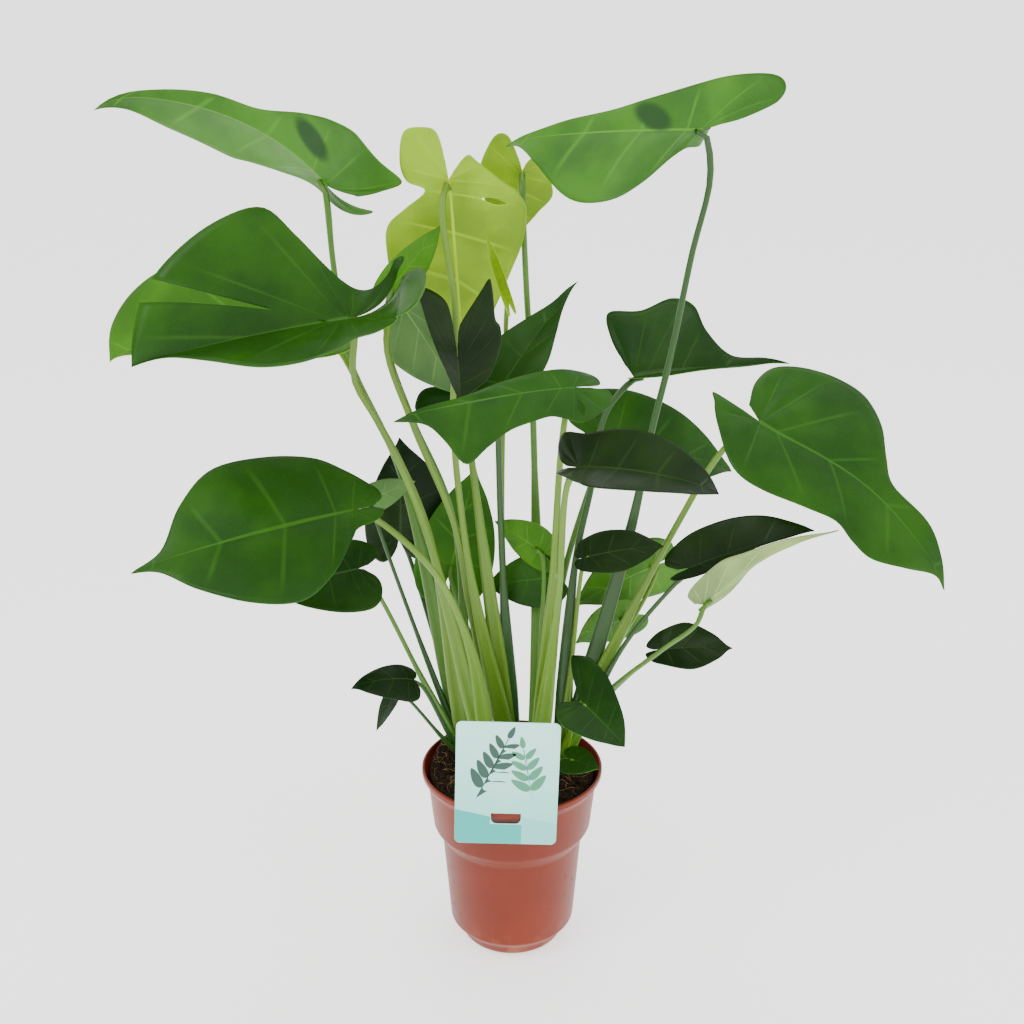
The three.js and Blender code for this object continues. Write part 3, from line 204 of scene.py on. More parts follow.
# attach and tip are the ends of the midrib and face the direction that the upper side looks at. half gives
# the left and right half width. left and right are outlines from the notch round the rear lobe to the tip:
# pairs of hundredths, along the midrib and away from it, with feet where their side veins leave the midrib.
# In degrees: arch bends the midrib, hook turns its tip down, fold lifts each half, curl bends it further,
# and lobe lifts each rear lobe. rear stretches the rear lobes and bow sways the midrib. cuts are slits and
# holes: side, place along the outline, from and to across the half, width. via leads the stalk down. stalk
# is its radius at the top and sheath its half width at the foot. greens are the colours of the upper side
# and the underside, and stem is that of the stalk.
LEAVES = [
    dict(name="top_left", crown="left", colour="mid", greens=("dark", "under"), stem="fresh",
         attach=[-180, 90, 795], tip=[-415, 150, 860], face=[0.1, 0.7, 0.7], half=[85, 85], arch=60, hook=45,
         fold=[28, 0], curl=[0, -10], lobe=[20, 40], left=[-14, 8, -22, 17, -28, 25, -19, 34, -5, 42, 7, 36,
         19, 27, 37, 13, 56, 10, 75, 6, 100, 0], right=[-8, 2, -18, 7, -12, 12, 6, 13, 27, 28, 42, 34,
         54, 36, 74, 26, 89, 9, 100, 0], via=[[-178, 100, 717], [-165, 84, 627], [-114, 62, 510]]),
    dict(name="top_right", crown="right", colour="mid", greens=("dark", "under"), stem="dark",
         attach=[180, 70, 850], tip=[-5, -60, 850], face=[-0.15, 0.8, 0.6], half=[80, 80], hook=20,
         fold=[35, 0], curl=[0, -20], lobe=[-10, 85], left=[-6, 2, -18, 9, -30, 22, -34, 32, -29, 38,
         -14, 34, 4, 27, 21, 20, 33, 16, 47, 12, 67, 8, 84, 3, 100, 0], right=[-4, 1, -15, 5, -18, 12,
         -8, 15, 2, 14, 8, 20, 18, 38, 30, 49, 46, 50, 60, 42, 78, 20, 90, 6, 100, 0], via=[[189, 67, 808],
         [173, 55, 734], [154, 38, 635], [138, 28, 566], [120, 16, 470]]),
    dict(name="upper_left_front", crown="front_left", colour="mid", greens=("mid", "under"),
         attach=[-145, -40, 695], tip=[-335, -100, 665], face=[0, -0.55, 0.8], half=[105, 110],
         fold=[30, 30], curl=[0, 20], lobe=[38, 38], left=[-15, 1, -38, 5, -46, 20, -46, 42, -38, 48,
         -14, 28, 5, 28, 19, 41, 34, 48, 50, 42, 68, 20, 84, 4, 100, 0], right=[-15, 1, -34, 4, -35, 7,
         -22, 7.5, -10, 9, 0, 15, 8, 24, 18, 37, 30, 50, 50, 48, 70, 39, 85, 27, 95, 11, 100, 0],
         feet=[0, 0, 0, 0.01, 0.02, 0.04, 0.07, 0.2, 1], cuts=[["right", 0.845, 0.3, 1, 22]],
         via=[[-147, -32, 635], [-128, -25, 593], [-105, -20, 540], [-81, -17, 465]]),
    dict(name="upper_left_back", crown="left", colour="young", greens=("fresh", "lime"),
         attach=[-185, 45, 665], tip=[-385, 10, 640], face=[0, -0.4, 0.9], half=[55, 95], arch=20, hook=30,
         fold=[15, 15], curl=[-20, 0], rear=[0.5, 1], right=[-8, 3, -12, 12, 0, 20, 20, 30, 42, 42, 62, 48,
         80, 40, 94, 20, 100, 0], via=[[-168, 38, 645], [-138, 12, 595], [-108, 0, 540], [-82, 0, 465]]),
    dict(name="young_front", crown="middle", colour="young", greens=("lime", "lime"), attach=[-60, 60, 805],
         tip=[-50, 110, 630], face=[0, 1, 0.1], half=[70, 75], hook=0, fold=[5, 5], curl=[-10, -10],
         left=[-10, 1.2, -26, 5, -30, 14, -28, 27, -12, 32, 0, 29, 6, 17, 16, 32, 25, 45, 38, 48, 60, 45,
         85, 28, 100, 0], right=[-5, 4, -13, 13, -9, 19, 3, 33, 9, 42, 19, 48, 38, 45, 56, 36, 80, 22,
         92, 10, 100, 0], cuts=[["right", 0.5, 0.4, 0.75, 8]], via=[[-66, 44, 785], [-56, 42, 694],
         [-54, 40, 640], [-47, 40, 590], [-36, 24, 500]]),
    dict(name="young_back", crown="front_right", colour="young", greens=("lime", "lime"), stem="fresh",
         attach=[10, 120, 805], tip=[2, 150, 735], face=[0, 1, 0.2], half=[42, 42], hook=0, fold=[5, 5],
         curl=[-10, -10], left=[-10, 3, -30, 11, -49, 21, -51, 33, -35, 42, 6, 50, 50, 40, 80, 20, 100, 0],
         right=[-10, 3, -19, 8, -19, 17, 0, 30, 33, 40, 60, 26, 85, 12, 100, 0], via=[[10, 103, 793],
         [14, 100, 700], [20, 95, 600], [25, 85, 450], [28, 30, 320]]),
    dict(name="centre_heart", crown="middle", colour="dark", greens=("deep", "dark"), attach=[-50, -40, 655],
         tip=[-46, -85, 628], face=[0, -0.8, 0.6], half=[46, 50], hook=0, fold=[12, 12], curl=[20, 20],
         lobe=[10, 10], left=[-30, 1, -70, 4, -95, 12, -140, 32, -157, 42, -120, 44, -65, 44, -41, 49, 2, 47,
         61, 32, 83, 12, 100, 0], right=[-30, 0.5, -110, 4, -140, 11, -156, 26, -145, 34, -100, 30, -50, 24,
         30, 12, 70, 6, 100, 0], via=[[-55, -25, 620], [-55, 0, 545], [-40, 5, 410]]),
    dict(name="centre_left", crown="middle", colour="mid", greens=("dark", "grey"), attach=[-107, 15, 699],
         tip=[-49, -20, 617], face=[0.2, 0.95, 0.1], half=[50, 50], hook=0, fold=[5, 5], left=[-5, 5, -2, 18,
         6, 28, 20, 38, 37, 44, 58, 36, 73, 26, 92, 9, 100, 0], right=[-5, 8, 0, 17, 10, 18, 35, 13, 69, 6,
         85, 3, 100, 0], via=[[-119, 0, 662], [-96, 3, 580], [-58, 8, 477], [-40, 14, 378]]),
    dict(name="centre_right", crown="middle", colour="dark", greens=("dark", "dark"), stem="dark",
         attach=[-15, 20, 605], tip=[65, 90, 700], face=[-0.3, -0.8, 0.5], half=[67, 32], hook=30,
         fold=[10, 10], left=[-10, 3, -23, 13, -38, 41, -30, 49, -20, 46, -8, 28, 10, 26, 35, 22, 55, 13.6,
         75, 5, 90, 2, 100, 0], right=[-10, 5, -20, 20, -15, 40, 10, 50, 35, 45, 55, 30, 75, 12, 90, 4,
         100, 0], via=[[-14, 25, 580], [-10, 25, 430]]),
    dict(name="centre_front", crown="front_right", colour="mid", greens=("mid", "under"),
         attach=[55, -95, 645], tip=[-100, -165, 635], face=[0.2, -0.6, 0.7], half=[80, 60], arch=20,
         hook=20, curl=[0, -20], lobe=[0, -15], left=[-10, 1, -21, 4, -19, 12, -9, 18, 3, 23, 11, 20, 20, 17,
         32, 19, 46, 22, 60, 29, 74, 36, 80, 20, 86, 8, 100, 0], right=[-10, 1, -21, 5, -19, 12, -7, 16,
         10, 17, 40, 12, 62, 5, 85, 3, 100, 0], cuts=[["left", 0.3, 0.3, 0.85, 16]], via=[[50, -68, 618],
         [46, -35, 560], [40, -25, 430]]),
    dict(name="right_upper", crown="right", colour="dark", greens=("dark", "under"), stem="dark",
         attach=[125, 100, 600], tip=[275, 60, 625], face=[0, -0.5, 0.8], half=[70, 35], fold=[40, 40],
         left=[-5, 10, -12, 30, -12, 50, 10, 47, 30, 53, 43, 46, 50, 26, 64, 8, 85, 4, 100, 0], right=[-4, 2,
         -2, 10, 5, 30, 30, 45, 60, 30, 85, 10, 100, 0], via=[[110, 90, 586], [94, 76, 565], [80, 42, 500],
         [64, 15, 430]]),
    dict(name="right_front", crown="front_right", colour="dark", greens=("deep", "dark"),
         attach=[60, -110, 575], tip=[170, -220, 590], face=[0, -0.5, 0.85], half=[60, 50], arch=20, hook=20,
         fold=[25, 15], left=[-12, 1.5, -20, 8, -27, 21, -24, 31, -5, 30, 19, 33, 43, 31, 64, 25, 86, 12,
         100, 0], right=[-8, 1, -15, 5, -10, 14, 2, 22, 20, 34, 37, 42, 67, 31, 89, 19, 100, 0],
         via=[[52, -100, 560], [45, -50, 420]]),
    dict(name="right_inner", crown="front_right", colour="mid", greens=("mid", "fresh"), stem="fresh",
         attach=[96, 110, 529], tip=[238, 150, 480], face=[0, -0.7, 0.7], half=[58, 50], arch=20, hook=20,
         fold=[15, 15], via=[[90, 105, 505], [55, 60, 400]]),
    dict(name="right_large", crown="right", colour="mid", greens=("mid", "under"), attach=[235, -20, 590],
         tip=[400, -110, 455], face=[0.35, -0.7, 0.6], half=[95, 80], hook=40, fold=[5, 5], curl=[-10, -15],
         bow=20, left=[-8, 4, -13, 18, -12, 33, -2, 46, 9, 52, 22, 50, 36, 37, 47, 21, 57, 11, 76, 12, 88, 7,
         100, 0], right=[-10, 0.8, -22, 3, -19, 9, -12, 20, 6, 39, 21, 43, 38, 39, 50, 34, 60, 36, 70, 34,
         82, 19, 92, 3, 100, 0], via=[[205, -10, 560], [165, 0, 480], [100, 5, 330]]),
    dict(name="right_low_dark", crown="right", colour="dark", greens=("deep", "dark"), stem="dark",
         attach=[174, -34, 445], tip=[290, -45, 488], face=[-0.2, -0.6, 0.8], half=[36, 24], arch=20,
         fold=[20, 5], stalk=2, sheath=5, left=[-10, 4, -18, 15, -15, 29, 1, 40, 19, 46, 43, 45, 68, 34,
         89, 14, 100, 0], right=[-12, 2, -18, 8, -10, 20, 8, 27, 33, 18, 58, 7, 85, 3, 100, 0],
         via=[[164, -30, 430], [115, -8, 350]]),
    dict(name="right_low_pale", crown="right", colour="mid", greens=("deep", "pale"), stem="fresh",
         attach=[183, -75, 424], tip=[312, -50, 491], face=[-0.1, 0.9, 0.3], half=[30, 34], fold=[10, 10],
         bow=-12, stalk=2, sheath=5, left=[-5, 3, -2, 12, 12, 20, 28, 16, 42, 6, 70, 3, 88, 2, 100, 0],
         right=[-5, 10, -6, 28, 6, 40, 22, 38, 40, 24, 65, 12, 85, 5, 100, 0], via=[[176, -84, 408],
         [145, -68, 372], [95, -25, 300]]),
    dict(name="right_small", crown="right", colour="dark", greens=("deep", "dark"), stem="dark",
         attach=[151, -15, 347], tip=[220, -35, 358], face=[-0.1, -0.6, 0.8], half=[28, 28], arch=15,
         hook=20, fold=[10, 10], stalk=1.8, sheath=4, left=[-12, 1, -22, 8, -16, 22, 0, 36, 36, 48, 71, 27,
         90, 7, 100, 0], right=[-12, 1, -22, 8, -14, 22, 4, 34, 48, 48, 80, 28, 93, 7, 100, 0],
         via=[[138, -12, 334], [90, -8, 280]]),
    dict(name="pot_right", crown="right", colour="dark", greens=("dark", "under"), attach=[70, -70, 315],
         tip=[108, -120, 295], face=[0.2, -0.7, 0.6], half=[36, 30], arch=15, hook=20, fold=[10, 10],
         stalk=2, sheath=5, left=[-15, 3, -50, 18, -78, 34, -84, 44, -60, 56, -25, 54, -8, 52, 33, 38,
         70, 22, 100, 0], right=[-12, 10, -20, 30, -9, 48, 10, 56, 31, 57, 66, 38, 88, 16, 100, 0],
         via=[[66, -60, 300], [58, -25, 250]]),
    dict(name="back_centre_upper", crown="front_right", colour="young", greens=("fresh", "fresh"),
         stem="fresh", attach=[31, 26, 436], tip=[-18, 48, 462], face=[0, 0.9, 0.4], half=[30, 26], stalk=2,
         sheath=5, via=[[32, 16, 416], [28, -8, 320]]),
    dict(name="back_centre_lower", crown="front_right", colour="mid", greens=("mid", "fresh"), stem="fresh",
         attach=[38, 40, 402], tip=[-28, 50, 390], face=[0, -0.9, 0.4], half=[30, 28], stalk=2, sheath=5,
         via=[[48, 37, 389], [32, 5, 290]]),
    dict(name="back_left_dark", crown="left", colour="dark", greens=("deep", "dark"), stem="dark",
         attach=[-120, 100, 425], tip=[-118, 110, 532], face=[0.2, -0.8, 0.3], half=[38, 60], arch=15,
         fold=[5, 5], stalk=2.2, sheath=6, via=[[-112, 112, 398], [-75, 50, 300]]),
    dict(name="behind_heart", crown="left", colour="mid", greens=("mid", "grey"), stem="dark",
         attach=[-143, 30, 492], tip=[-97, 35, 510], face=[0, 0.8, 0.5], half=[22, 22], stalk=1.8, sheath=4,
         via=[[-138, 22, 478], [-100, 25, 350]]),
    dict(name="left_heart", crown="front_left", colour="mid", greens=("mid", "under"),
         attach=[-150, -60, 515], tip=[-345, -130, 480], face=[0.1, -0.65, 0.75], half=[85, 80], arch=15,
         hook=20, fold=[12, 12], curl=[-10, -20], left=[-10, 0.4, -13.5, 4, -9, 10, 1, 13, 6, 20, 20, 39,
         36, 49, 56, 42, 75, 25, 88, 7, 100, 0], right=[-10, 0.4, -14.5, 4, -14, 10, -10, 16, -2, 26, 10, 39,
         30, 47, 54, 47, 72, 29, 85, 6, 100, 0], via=[[-132, -38, 498], [-90, -40, 461], [-65, -38, 424],
         [-40, -28, 347]]),
    dict(name="left_low", crown="left", colour="dark", greens=("dark", "under"), stem="fresh",
         attach=[-152, -20, 438], tip=[-240, -60, 428], face=[0, -0.6, 0.8], half=[50, 38], hook=20, stalk=2,
         sheath=5, left=[-6, 2, -15, 13, -16, 27, -8, 42, 8, 49, 34, 44, 65, 28, 88, 8, 100, 0],
         via=[[-140, -20, 423], [-90, 0, 300]]),
    dict(name="left_small", crown="left", colour="dark", greens=("deep", "dark"), stem="dark",
         attach=[-99, -52, 332], tip=[-158, -70, 331], face=[0, -0.5, 0.85], half=[25, 20], arch=50, hook=30,
         curl=[-20, -20], rear=[0.4, 0.4], stalk=1.8, sheath=4, via=[[-91, -45, 322], [-66, -20, 255]]),
    dict(name="soil_right", crown="right", colour="dark", greens=("dark", "under"), attach=[58, -45, 238],
         tip=[88, -70, 241], face=[0, -0.6, 0.8], half=[17, 17], stalk=1.6, sheath=4, via=[[56, -30, 228]]),
    dict(name="right_mid_dark", crown="right", colour="dark", greens=("deep", "dark"), attach=[72, -8, 445],
         tip=[148, -28, 465], face=[0, -0.6, 0.8], half=[28, 28], arch=20, stalk=2, sheath=5, left=[-10, 1,
         -14, 10, -12, 26, -4, 38, 22, 47, 61, 37, 88, 13, 100, 0], right=[-10, 1, -14, 8, -8, 22, 10, 34,
         49, 44, 79, 26, 93, 8, 100, 0], via=[[70, 0, 428], [62, 5, 330]]),
    dict(name="right_mid_bright", crown="right", colour="young", greens=("fresh", "fresh"),
         attach=[152, 66, 406], tip=[66, 74, 354], face=[0, 0.9, 0.4], half=[44, 42], stalk=2, sheath=5,
         via=[[146, 54, 388], [95, 25, 300]]),
    dict(name="right_mid_low", crown="right", colour="mid", greens=("mid", "fresh"), attach=[122, 58, 350],
         tip=[68, 62, 316], face=[0, 0.9, 0.4], half=[30, 30], stalk=1.8, sheath=4, via=[[116, 46, 336],
         [80, 20, 270]]),
    dict(name="mid_left", crown="middle", colour="mid", greens=("mid", "under"), stem="fresh",
         attach=[-66, 75, 392], tip=[-38, 100, 502], face=[0, 0.8, 0.3], half=[44, 40], stalk=2, sheath=5,
         via=[[-60, 60, 377], [-30, 30, 300]]),
    dict(name="behind_front_lobe", crown="left", colour="mid", greens=("fresh", "grey"), stem="fresh",
         attach=[-115, 50, 706], tip=[-67, 58, 763], face=[0.4, -0.7, 0.5], half=[17, 20], fold=[10, 10],
         stalk=2.2, sheath=6, via=[[-120, 40, 685], [-121, 36, 650], [-99, 30, 580], [-60, 26, 477]]),
    dict(name="rolled_new", crown="middle", colour="young", greens=("lime", "lime"), attach=[-5, 66, 690],
         tip=[-25, 70, 750], face=[0, -1, 0.2], half=[10, 10], arch=0, hook=0, fold=[30, 30], curl=[60, 60],
         stalk=2, sheath=5, via=[[-6, 72, 662], [-10, 68, 430]]),
    dict(name="left_hanging", crown="left", colour="dark", greens=("deep", "dark"), stem="dark",
         attach=[-116, -62, 322], tip=[-135, -66, 282], face=[-0.7, -0.7, 0.3], half=[10, 10], hook=0,
         fold=[10, 10], rear=[0.4, 0.4], stalk=1.5, sheath=3.5, via=[[-108, -55, 316], [-72, -22, 250]]),
]
LEAVES = [LEAF | row for row in LEAVES]

# The deep and dark greens are partly the blades' own dark green and partly painted shade, for blades that sit
# in the shade of others
GREENS = {
    "deep": 0x092503,
    "dark": 0x113a04,
    "mid": 0x1b4a03,
    "fresh": 0x3a720a,
    "lime": 0x7ba414,
    "under": 0x31690f,
    "grey": 0x4c743c,
    "pale": 0x82a060,
}
# Painted shade: ovals of another, darker green that stand in for a shaded fold, where the far half of the
# blade shows through: place seen from the front, turn, half sizes and colour
SHADE_PATCHES = {
    "top_left": [(-193, 838, -52, 27, 12, 0x16400a)],
    "top_right": [(130, 865, -30, 23, 12, 0x16400a)],
}
STEMS = {
    "bright": 0x5c8014,
    "fresh": 0x44700f,
    "dark": 0x20480a,
}


def rgba(code):
    """Linear colour of a written sRGB one."""
    parts = [((code >> shift) & 255) / 255 for shift in (16, 8, 0)]
    return [p / 12.92 if p <= 0.04045 else ((p + 0.055) / 1.055) ** 2.4 for p in parts] + [1]


def unit(v):
    return v / np.linalg.norm(v)


# Materials

# Blade skin: shares of the way from the midrib to the margin, and the sizes of its grain
SIDE_VEIN_HALF = 0.06
SIDE_VEIN_FADE = (0.55, 0.97)
MIDRIB_EDGE = (0.012, 0.035)
MARGIN_EDGE = (0.982, 0.994)
LEAF_CLOUDS = 14.0
LEAF_GRAIN = 900.0
LEAF_NET = 420.0
LEAF_NET_LINE = 0.12
LEAF_BUMP = 0.0006
# Scale of the rough spots, smoothest and roughest finish, specular level
UPPER_SHEEN = (30.0, 0.32, 0.44, 0.17)
UNDERSIDE_SHEEN = (40.0, 0.44, 0.54, 0.2)
OVAL_FULL = 0.35
OVAL_END = 1.15


class Shader:
    """A Principled material with short ways to add its nodes."""

    def __init__(self, name):
        self.material = bpy.data.materials.new(name)
        self.material.use_nodes = True
        self.tree = self.material.node_tree
        self.surface = self.tree.nodes["Principled BSDF"]

    def node(self, kind, **values):
        made = self.tree.nodes.new(kind)
        for key, value in values.items():
            setattr(made, key, value)
        return made

    def put(self, value, socket):
        """A number, a colour or another node's socket into a socket."""
        if isinstance(value, bpy.types.NodeSocket):
            self.tree.links.new(value, socket)
        else:
            socket.default_value = value

    def math(self, operation, a, b=0.0):
        made = self.node("ShaderNodeMath", operation=operation)
        for value, socket in zip((a, b), made.inputs):
            self.put(value, socket)
        return made.outputs[0]

    def ramp(self, value, low, high, out_low=0.0, out_high=1.0):
        """A soft step of a value from low to high, as a number from out_low to out_high."""
        return self.fill(self.node("ShaderNodeMapRange", interpolation_type="SMOOTHSTEP"), "Result",
                         Value=value, From_Min=low, From_Max=high, To_Min=out_low, To_Max=out_high)

    def times(self, a, b):
        return self.math("MULTIPLY", a, b)

    def plus(self, a, b):
        return self.math("ADD", a, b)

    def mix(self, factor, a, b):
        made = self.node("ShaderNodeMix", data_type="RGBA", blend_type="MIX")
        self.put(factor, made.inputs["Factor"])
        colours = [socket for socket in made.inputs if socket.type == "RGBA"]
        self.put(a, colours[0])
        self.put(b, colours[1])
        return next(socket for socket in made.outputs if socket.type == "RGBA")

    def place(self, source="Object"):
        return self.node("ShaderNodeTexCoord").outputs[source]

    def split(self, vector):
        made = self.node("ShaderNodeSeparateXYZ")
        self.put(vector, made.inputs[0])
        return made.outputs

    def oval(self, x, z, turn, half_long, half_wide):
        """Share of an oval that is seen from the front: millimetres, and degrees for its turn."""
        east, _, up = self.split(self.place())
        east = self.math("SUBTRACT", east, x * MM)
        up = self.math("SUBTRACT", up, z * MM)
        c, d = math.cos(turn * DEGREE), math.sin(turn * DEGREE)
        run = self.plus(self.times(east, c / half_long / MM), self.times(up, d / half_long / MM))
        rise = self.plus(self.times(up, c / half_wide / MM), self.times(east, -d / half_wide / MM))
        away = self.plus(self.times(run, run), self.times(rise, rise))
        return self.ramp(away, OVAL_FULL, OVAL_END, 1.0, 0.0)

    def fill(self, made, output, **values):
        """Sets the inputs of a node and gives one of its outputs."""
        for key, value in values.items():
            self.put(value, made.inputs[key.replace("_", " ")])
        return made.outputs[output]

    def noise(self, scale, detail=3.0, vector=None, roughness=0.5):
        return self.fill(self.node("ShaderNodeTexNoise"), "Fac", Vector=vector or self.place(), Scale=scale,
                         Detail=detail, Roughness=roughness)

    def net(self, scale):
        """Distance to the nearest edge of a net of cells."""
        return self.fill(self.node("ShaderNodeTexVoronoi", feature="DISTANCE_TO_EDGE"), "Distance",
                         Vector=self.place(), Scale=scale)

    def bump(self, height, strength, distance):
        return self.fill(self.node("ShaderNodeBump"), "Normal", Strength=strength, Distance=distance,
                         Height=height)

    def finish(self, colour, roughness, normal, specular=0.5):
        self.fill(self.surface, "BSDF", Base_Color=colour, Roughness=roughness, Normal=normal,
                  Specular_IOR_Level=specular)
        return self.material


def leaf_material(name, green, underside, patches):
    """Blade skin: U runs along the outline and V from the midrib to the margin."""
    s = Shader(name)
    along, across, _ = s.split(s.place("UV"))
    phase = s.math("FRACT", s.times(along, SIDE_VEINS))
    from_vein = s.math("ABSOLUTE", s.math("SUBTRACT", phase, 0.5))
    side_vein = s.ramp(from_vein, 0.0, SIDE_VEIN_HALF, 1.0, 0.0)
    side_vein = s.times(side_vein, s.ramp(across, *SIDE_VEIN_FADE, 1.0, 0.0))
    midrib = s.ramp(across, *MIDRIB_EDGE, 1.0, 0.0)
    margin = s.ramp(across, *MARGIN_EDGE)
    clouds = s.noise(LEAF_CLOUDS, 4.0)
    fine = s.noise(LEAF_GRAIN, 2.0)
    net_lines = s.ramp(s.net(LEAF_NET), 0.0, LEAF_NET_LINE, 1.0, 0.0)

    base = np.array(rgba(green))
    darker = list(base * 0.72)
    lighter = [min(1.0, base[0] * 1.35 + 0.004), min(1.0, base[1] * 1.22 + 0.004), base[2] * 1.15, 1]
    vein_colour = [min(1.0, base[0] * 1.9 + 0.018), min(1.0, base[1] * 1.55 + 0.035),
                   base[2] * 1.5 + 0.006, 1]
    skin = s.mix(s.ramp(clouds, 0.35, 0.68), darker, lighter)
    shares = ((net_lines, 0.10), (side_vein, 0.55 if underside else 0.38),
              (midrib, 0.95 if underside else 0.80), (margin, 0.35))
    for lines, share in shares:
        skin = s.mix(s.times(lines, share), skin, vein_colour)
    # Painted shade: darker ovals where a fold of the blade lies in shade
    for x, z, turn, half_long, half_wide, shade_green in patches:
        skin = s.mix(s.oval(x, z, turn, half_long, half_wide), skin, rgba(shade_green))

    lift = 1.0 if underside else -1.0
    relief = s.times(midrib, 1.2 * lift)
    for lines, height in ((side_vein, 0.6 * lift), (net_lines, 0.12 * lift), (fine, 0.08)):
        relief = s.plus(relief, s.times(lines, height))
    scale, smooth, rough, specular = UNDERSIDE_SHEEN if underside else UPPER_SHEEN
    roughness = s.ramp(s.noise(scale), 0.3, 0.7, smooth, rough)
    return s.finish(skin, roughness, s.bump(relief, 0.5, LEAF_BUMP), specular)


def stalk_material(name, green):
    """Stalk skin: U runs round the stalk and V up along it."""
    s = Shader(name)
    around, up, _ = s.split(s.place("UV"))
    stretched = s.node("ShaderNodeCombineXYZ")
    s.put(s.times(around, 26.0), stretched.inputs[0])
    s.put(s.times(up, 3.0), stretched.inputs[1])
    streaks = s.noise(2.0, 4.0, stretched.outputs[0])
    base = np.array(rgba(green))
    skin = s.mix(s.ramp(streaks, 0.3, 0.7), list(base * 0.78), list(np.minimum(base * 1.25, 1)))
    low = list(np.minimum(base * [1.25, 1.18, 1.3, 1], 1))
    skin = s.mix(s.ramp(up, 0.0, 0.45, 0.6, 0.0), skin, low)
    specks = s.ramp(s.noise(260.0, 2.0), 0.62, 0.72)
    skin = s.mix(s.times(specks, 0.15), skin, list(np.minimum(base * 1.6, 1)))
    return s.finish(skin, s.ramp(streaks, 0.3, 0.7, 0.36, 0.5), s.bump(streaks, 0.25, 0.0008))


def pot_material():
    s = Shader("terracotta_plastic")
    clouds = s.noise(9.0, 3.0)
    grain = s.noise(1400.0, 2.0)
    skin = s.mix(s.ramp(clouds, 0.3, 0.7), rgba(0x6e2209), rgba(0x7a280c))
    height = s.split(s.place())[2]
    dust = s.times(s.ramp(height, 0.0, 0.05, 0.25, 0.0), s.ramp(s.noise(60.0, 5.0), 0.45, 0.7))
    skin = s.mix(dust, skin, rgba(0xc08a68))
    scuffs = s.ramp(s.noise(120.0, 5.0), 0.60, 0.70)
    roughness = s.plus(s.times(scuffs, 0.10), 0.40)
    return s.finish(skin, roughness, s.bump(grain, 0.18, 0.0003), 0.25)


def peat_material(name, dark, light):
    s = Shader(name)
    grain = s.noise(420.0, 8.0, roughness=0.7)
    skin = s.mix(s.ramp(grain, 0.38, 0.68), rgba(dark), rgba(light))
    return s.finish(skin, 0.95, s.bump(grain, 0.9, 0.0012), 0.15)


def plain_material(name, colour, roughness, grain=900.0, spread=0.06):
    """An even finish with a fine grain in its colour and its surface."""
    s = Shader(name)
    fine = s.noise(grain, 3.0)
    base = np.array(rgba(colour))
    skin = s.mix(fine, list(base * (1 - spread)), list(np.minimum(base * (1 + spread), 1)))
    return s.finish(skin, roughness, s.bump(fine, 0.08, 0.0002))


def card_material():
    s = Shader("label_card")
    height = s.split(s.place())[2]
    wash = s.ramp(height, CARD_BOTTOM * MM, CARD_TOP * MM)
    clouds = s.ramp(s.noise(18.0, 2.0), 0.3, 0.7)
    skin = s.mix(wash, rgba(0x86e6d6), rgba(0xb4fbee))
    skin = s.mix(s.times(clouds, 0.25), skin, rgba(0xe9fbf6))
    return s.finish(skin, 0.32, s.bump(s.noise(600.0, 2.0), 0.05, 0.0002))


# Meshes

def mesh_object(name, points, faces, materials, uvs=None, material_of=None, smooth=True):
    """An object from points in millimetres and faces, with optional UVs for each face corner."""
    mesh = bpy.data.meshes.new(name)
    mesh.from_pydata([tuple(np.asarray(p) * MM) for p in points], [], [tuple(f) for f in faces])
    if uvs is not None:
        layer = mesh.uv_layers.new(name="UVMap")
        layer.data.foreach_set("uv", np.asarray(uvs, float).reshape(-1))
    for material in materials:
        mesh.materials.append(material)
    if material_of is not None:
        mesh.polygons.foreach_set("material_index", material_of)
    if smooth:
        mesh.polygons.foreach_set("use_smooth", [True] * len(mesh.polygons))
    made = bpy.data.objects.new(name, mesh)
    bpy.context.scene.collection.objects.link(made)
    return made


def tidy_mesh(made, distance=1e-6):
    """Joins points that coincide and drops what lost its area."""
    work = bmesh.new()
    work.from_mesh(made.data)
    bmesh.ops.remove_doubles(work, verts=work.verts, dist=distance)
    bmesh.ops.dissolve_degenerate(work, edges=work.edges, dist=distance)
    work.to_mesh(made.data)
    work.free()


def apply_modifier(made, kind, **values):
    modifier = made.modifiers.new(kind.lower(), kind)
    for key, value in values.items():
        setattr(modifier, key, value)
    shown = bpy.context.evaluated_depsgraph_get()
    finished = bpy.data.meshes.new_from_object(made.evaluated_get(shown))
    made.modifiers.clear()
    made.data = finished


# Blades

def smooth_curve(values, t):
    """Smooth curve through evenly spaced numbers."""
    values = np.asarray(values, float)
    last = len(values) - 1
    place = np.clip(t, 0, 1) * last
    i = np.minimum(np.floor(place).astype(int), last - 1)
    w = place - i
    wide = np.concatenate([[2 * values[0] - values[1]], values, [2 * values[-1] - values[-2]]])
    p0, p1, p2, p3 = wide[i], wide[i + 1], wide[i + 2], wide[i + 3]
    v0 = (p2 - p0) / 2
    v1 = (p3 - p1) / 2
    return (2 * p1 - 2 * p2 + v0 + v1) * w ** 3 + (-3 * p1 + 3 * p2 - 2 * v0 - v1) * w ** 2 + v0 * w + p1


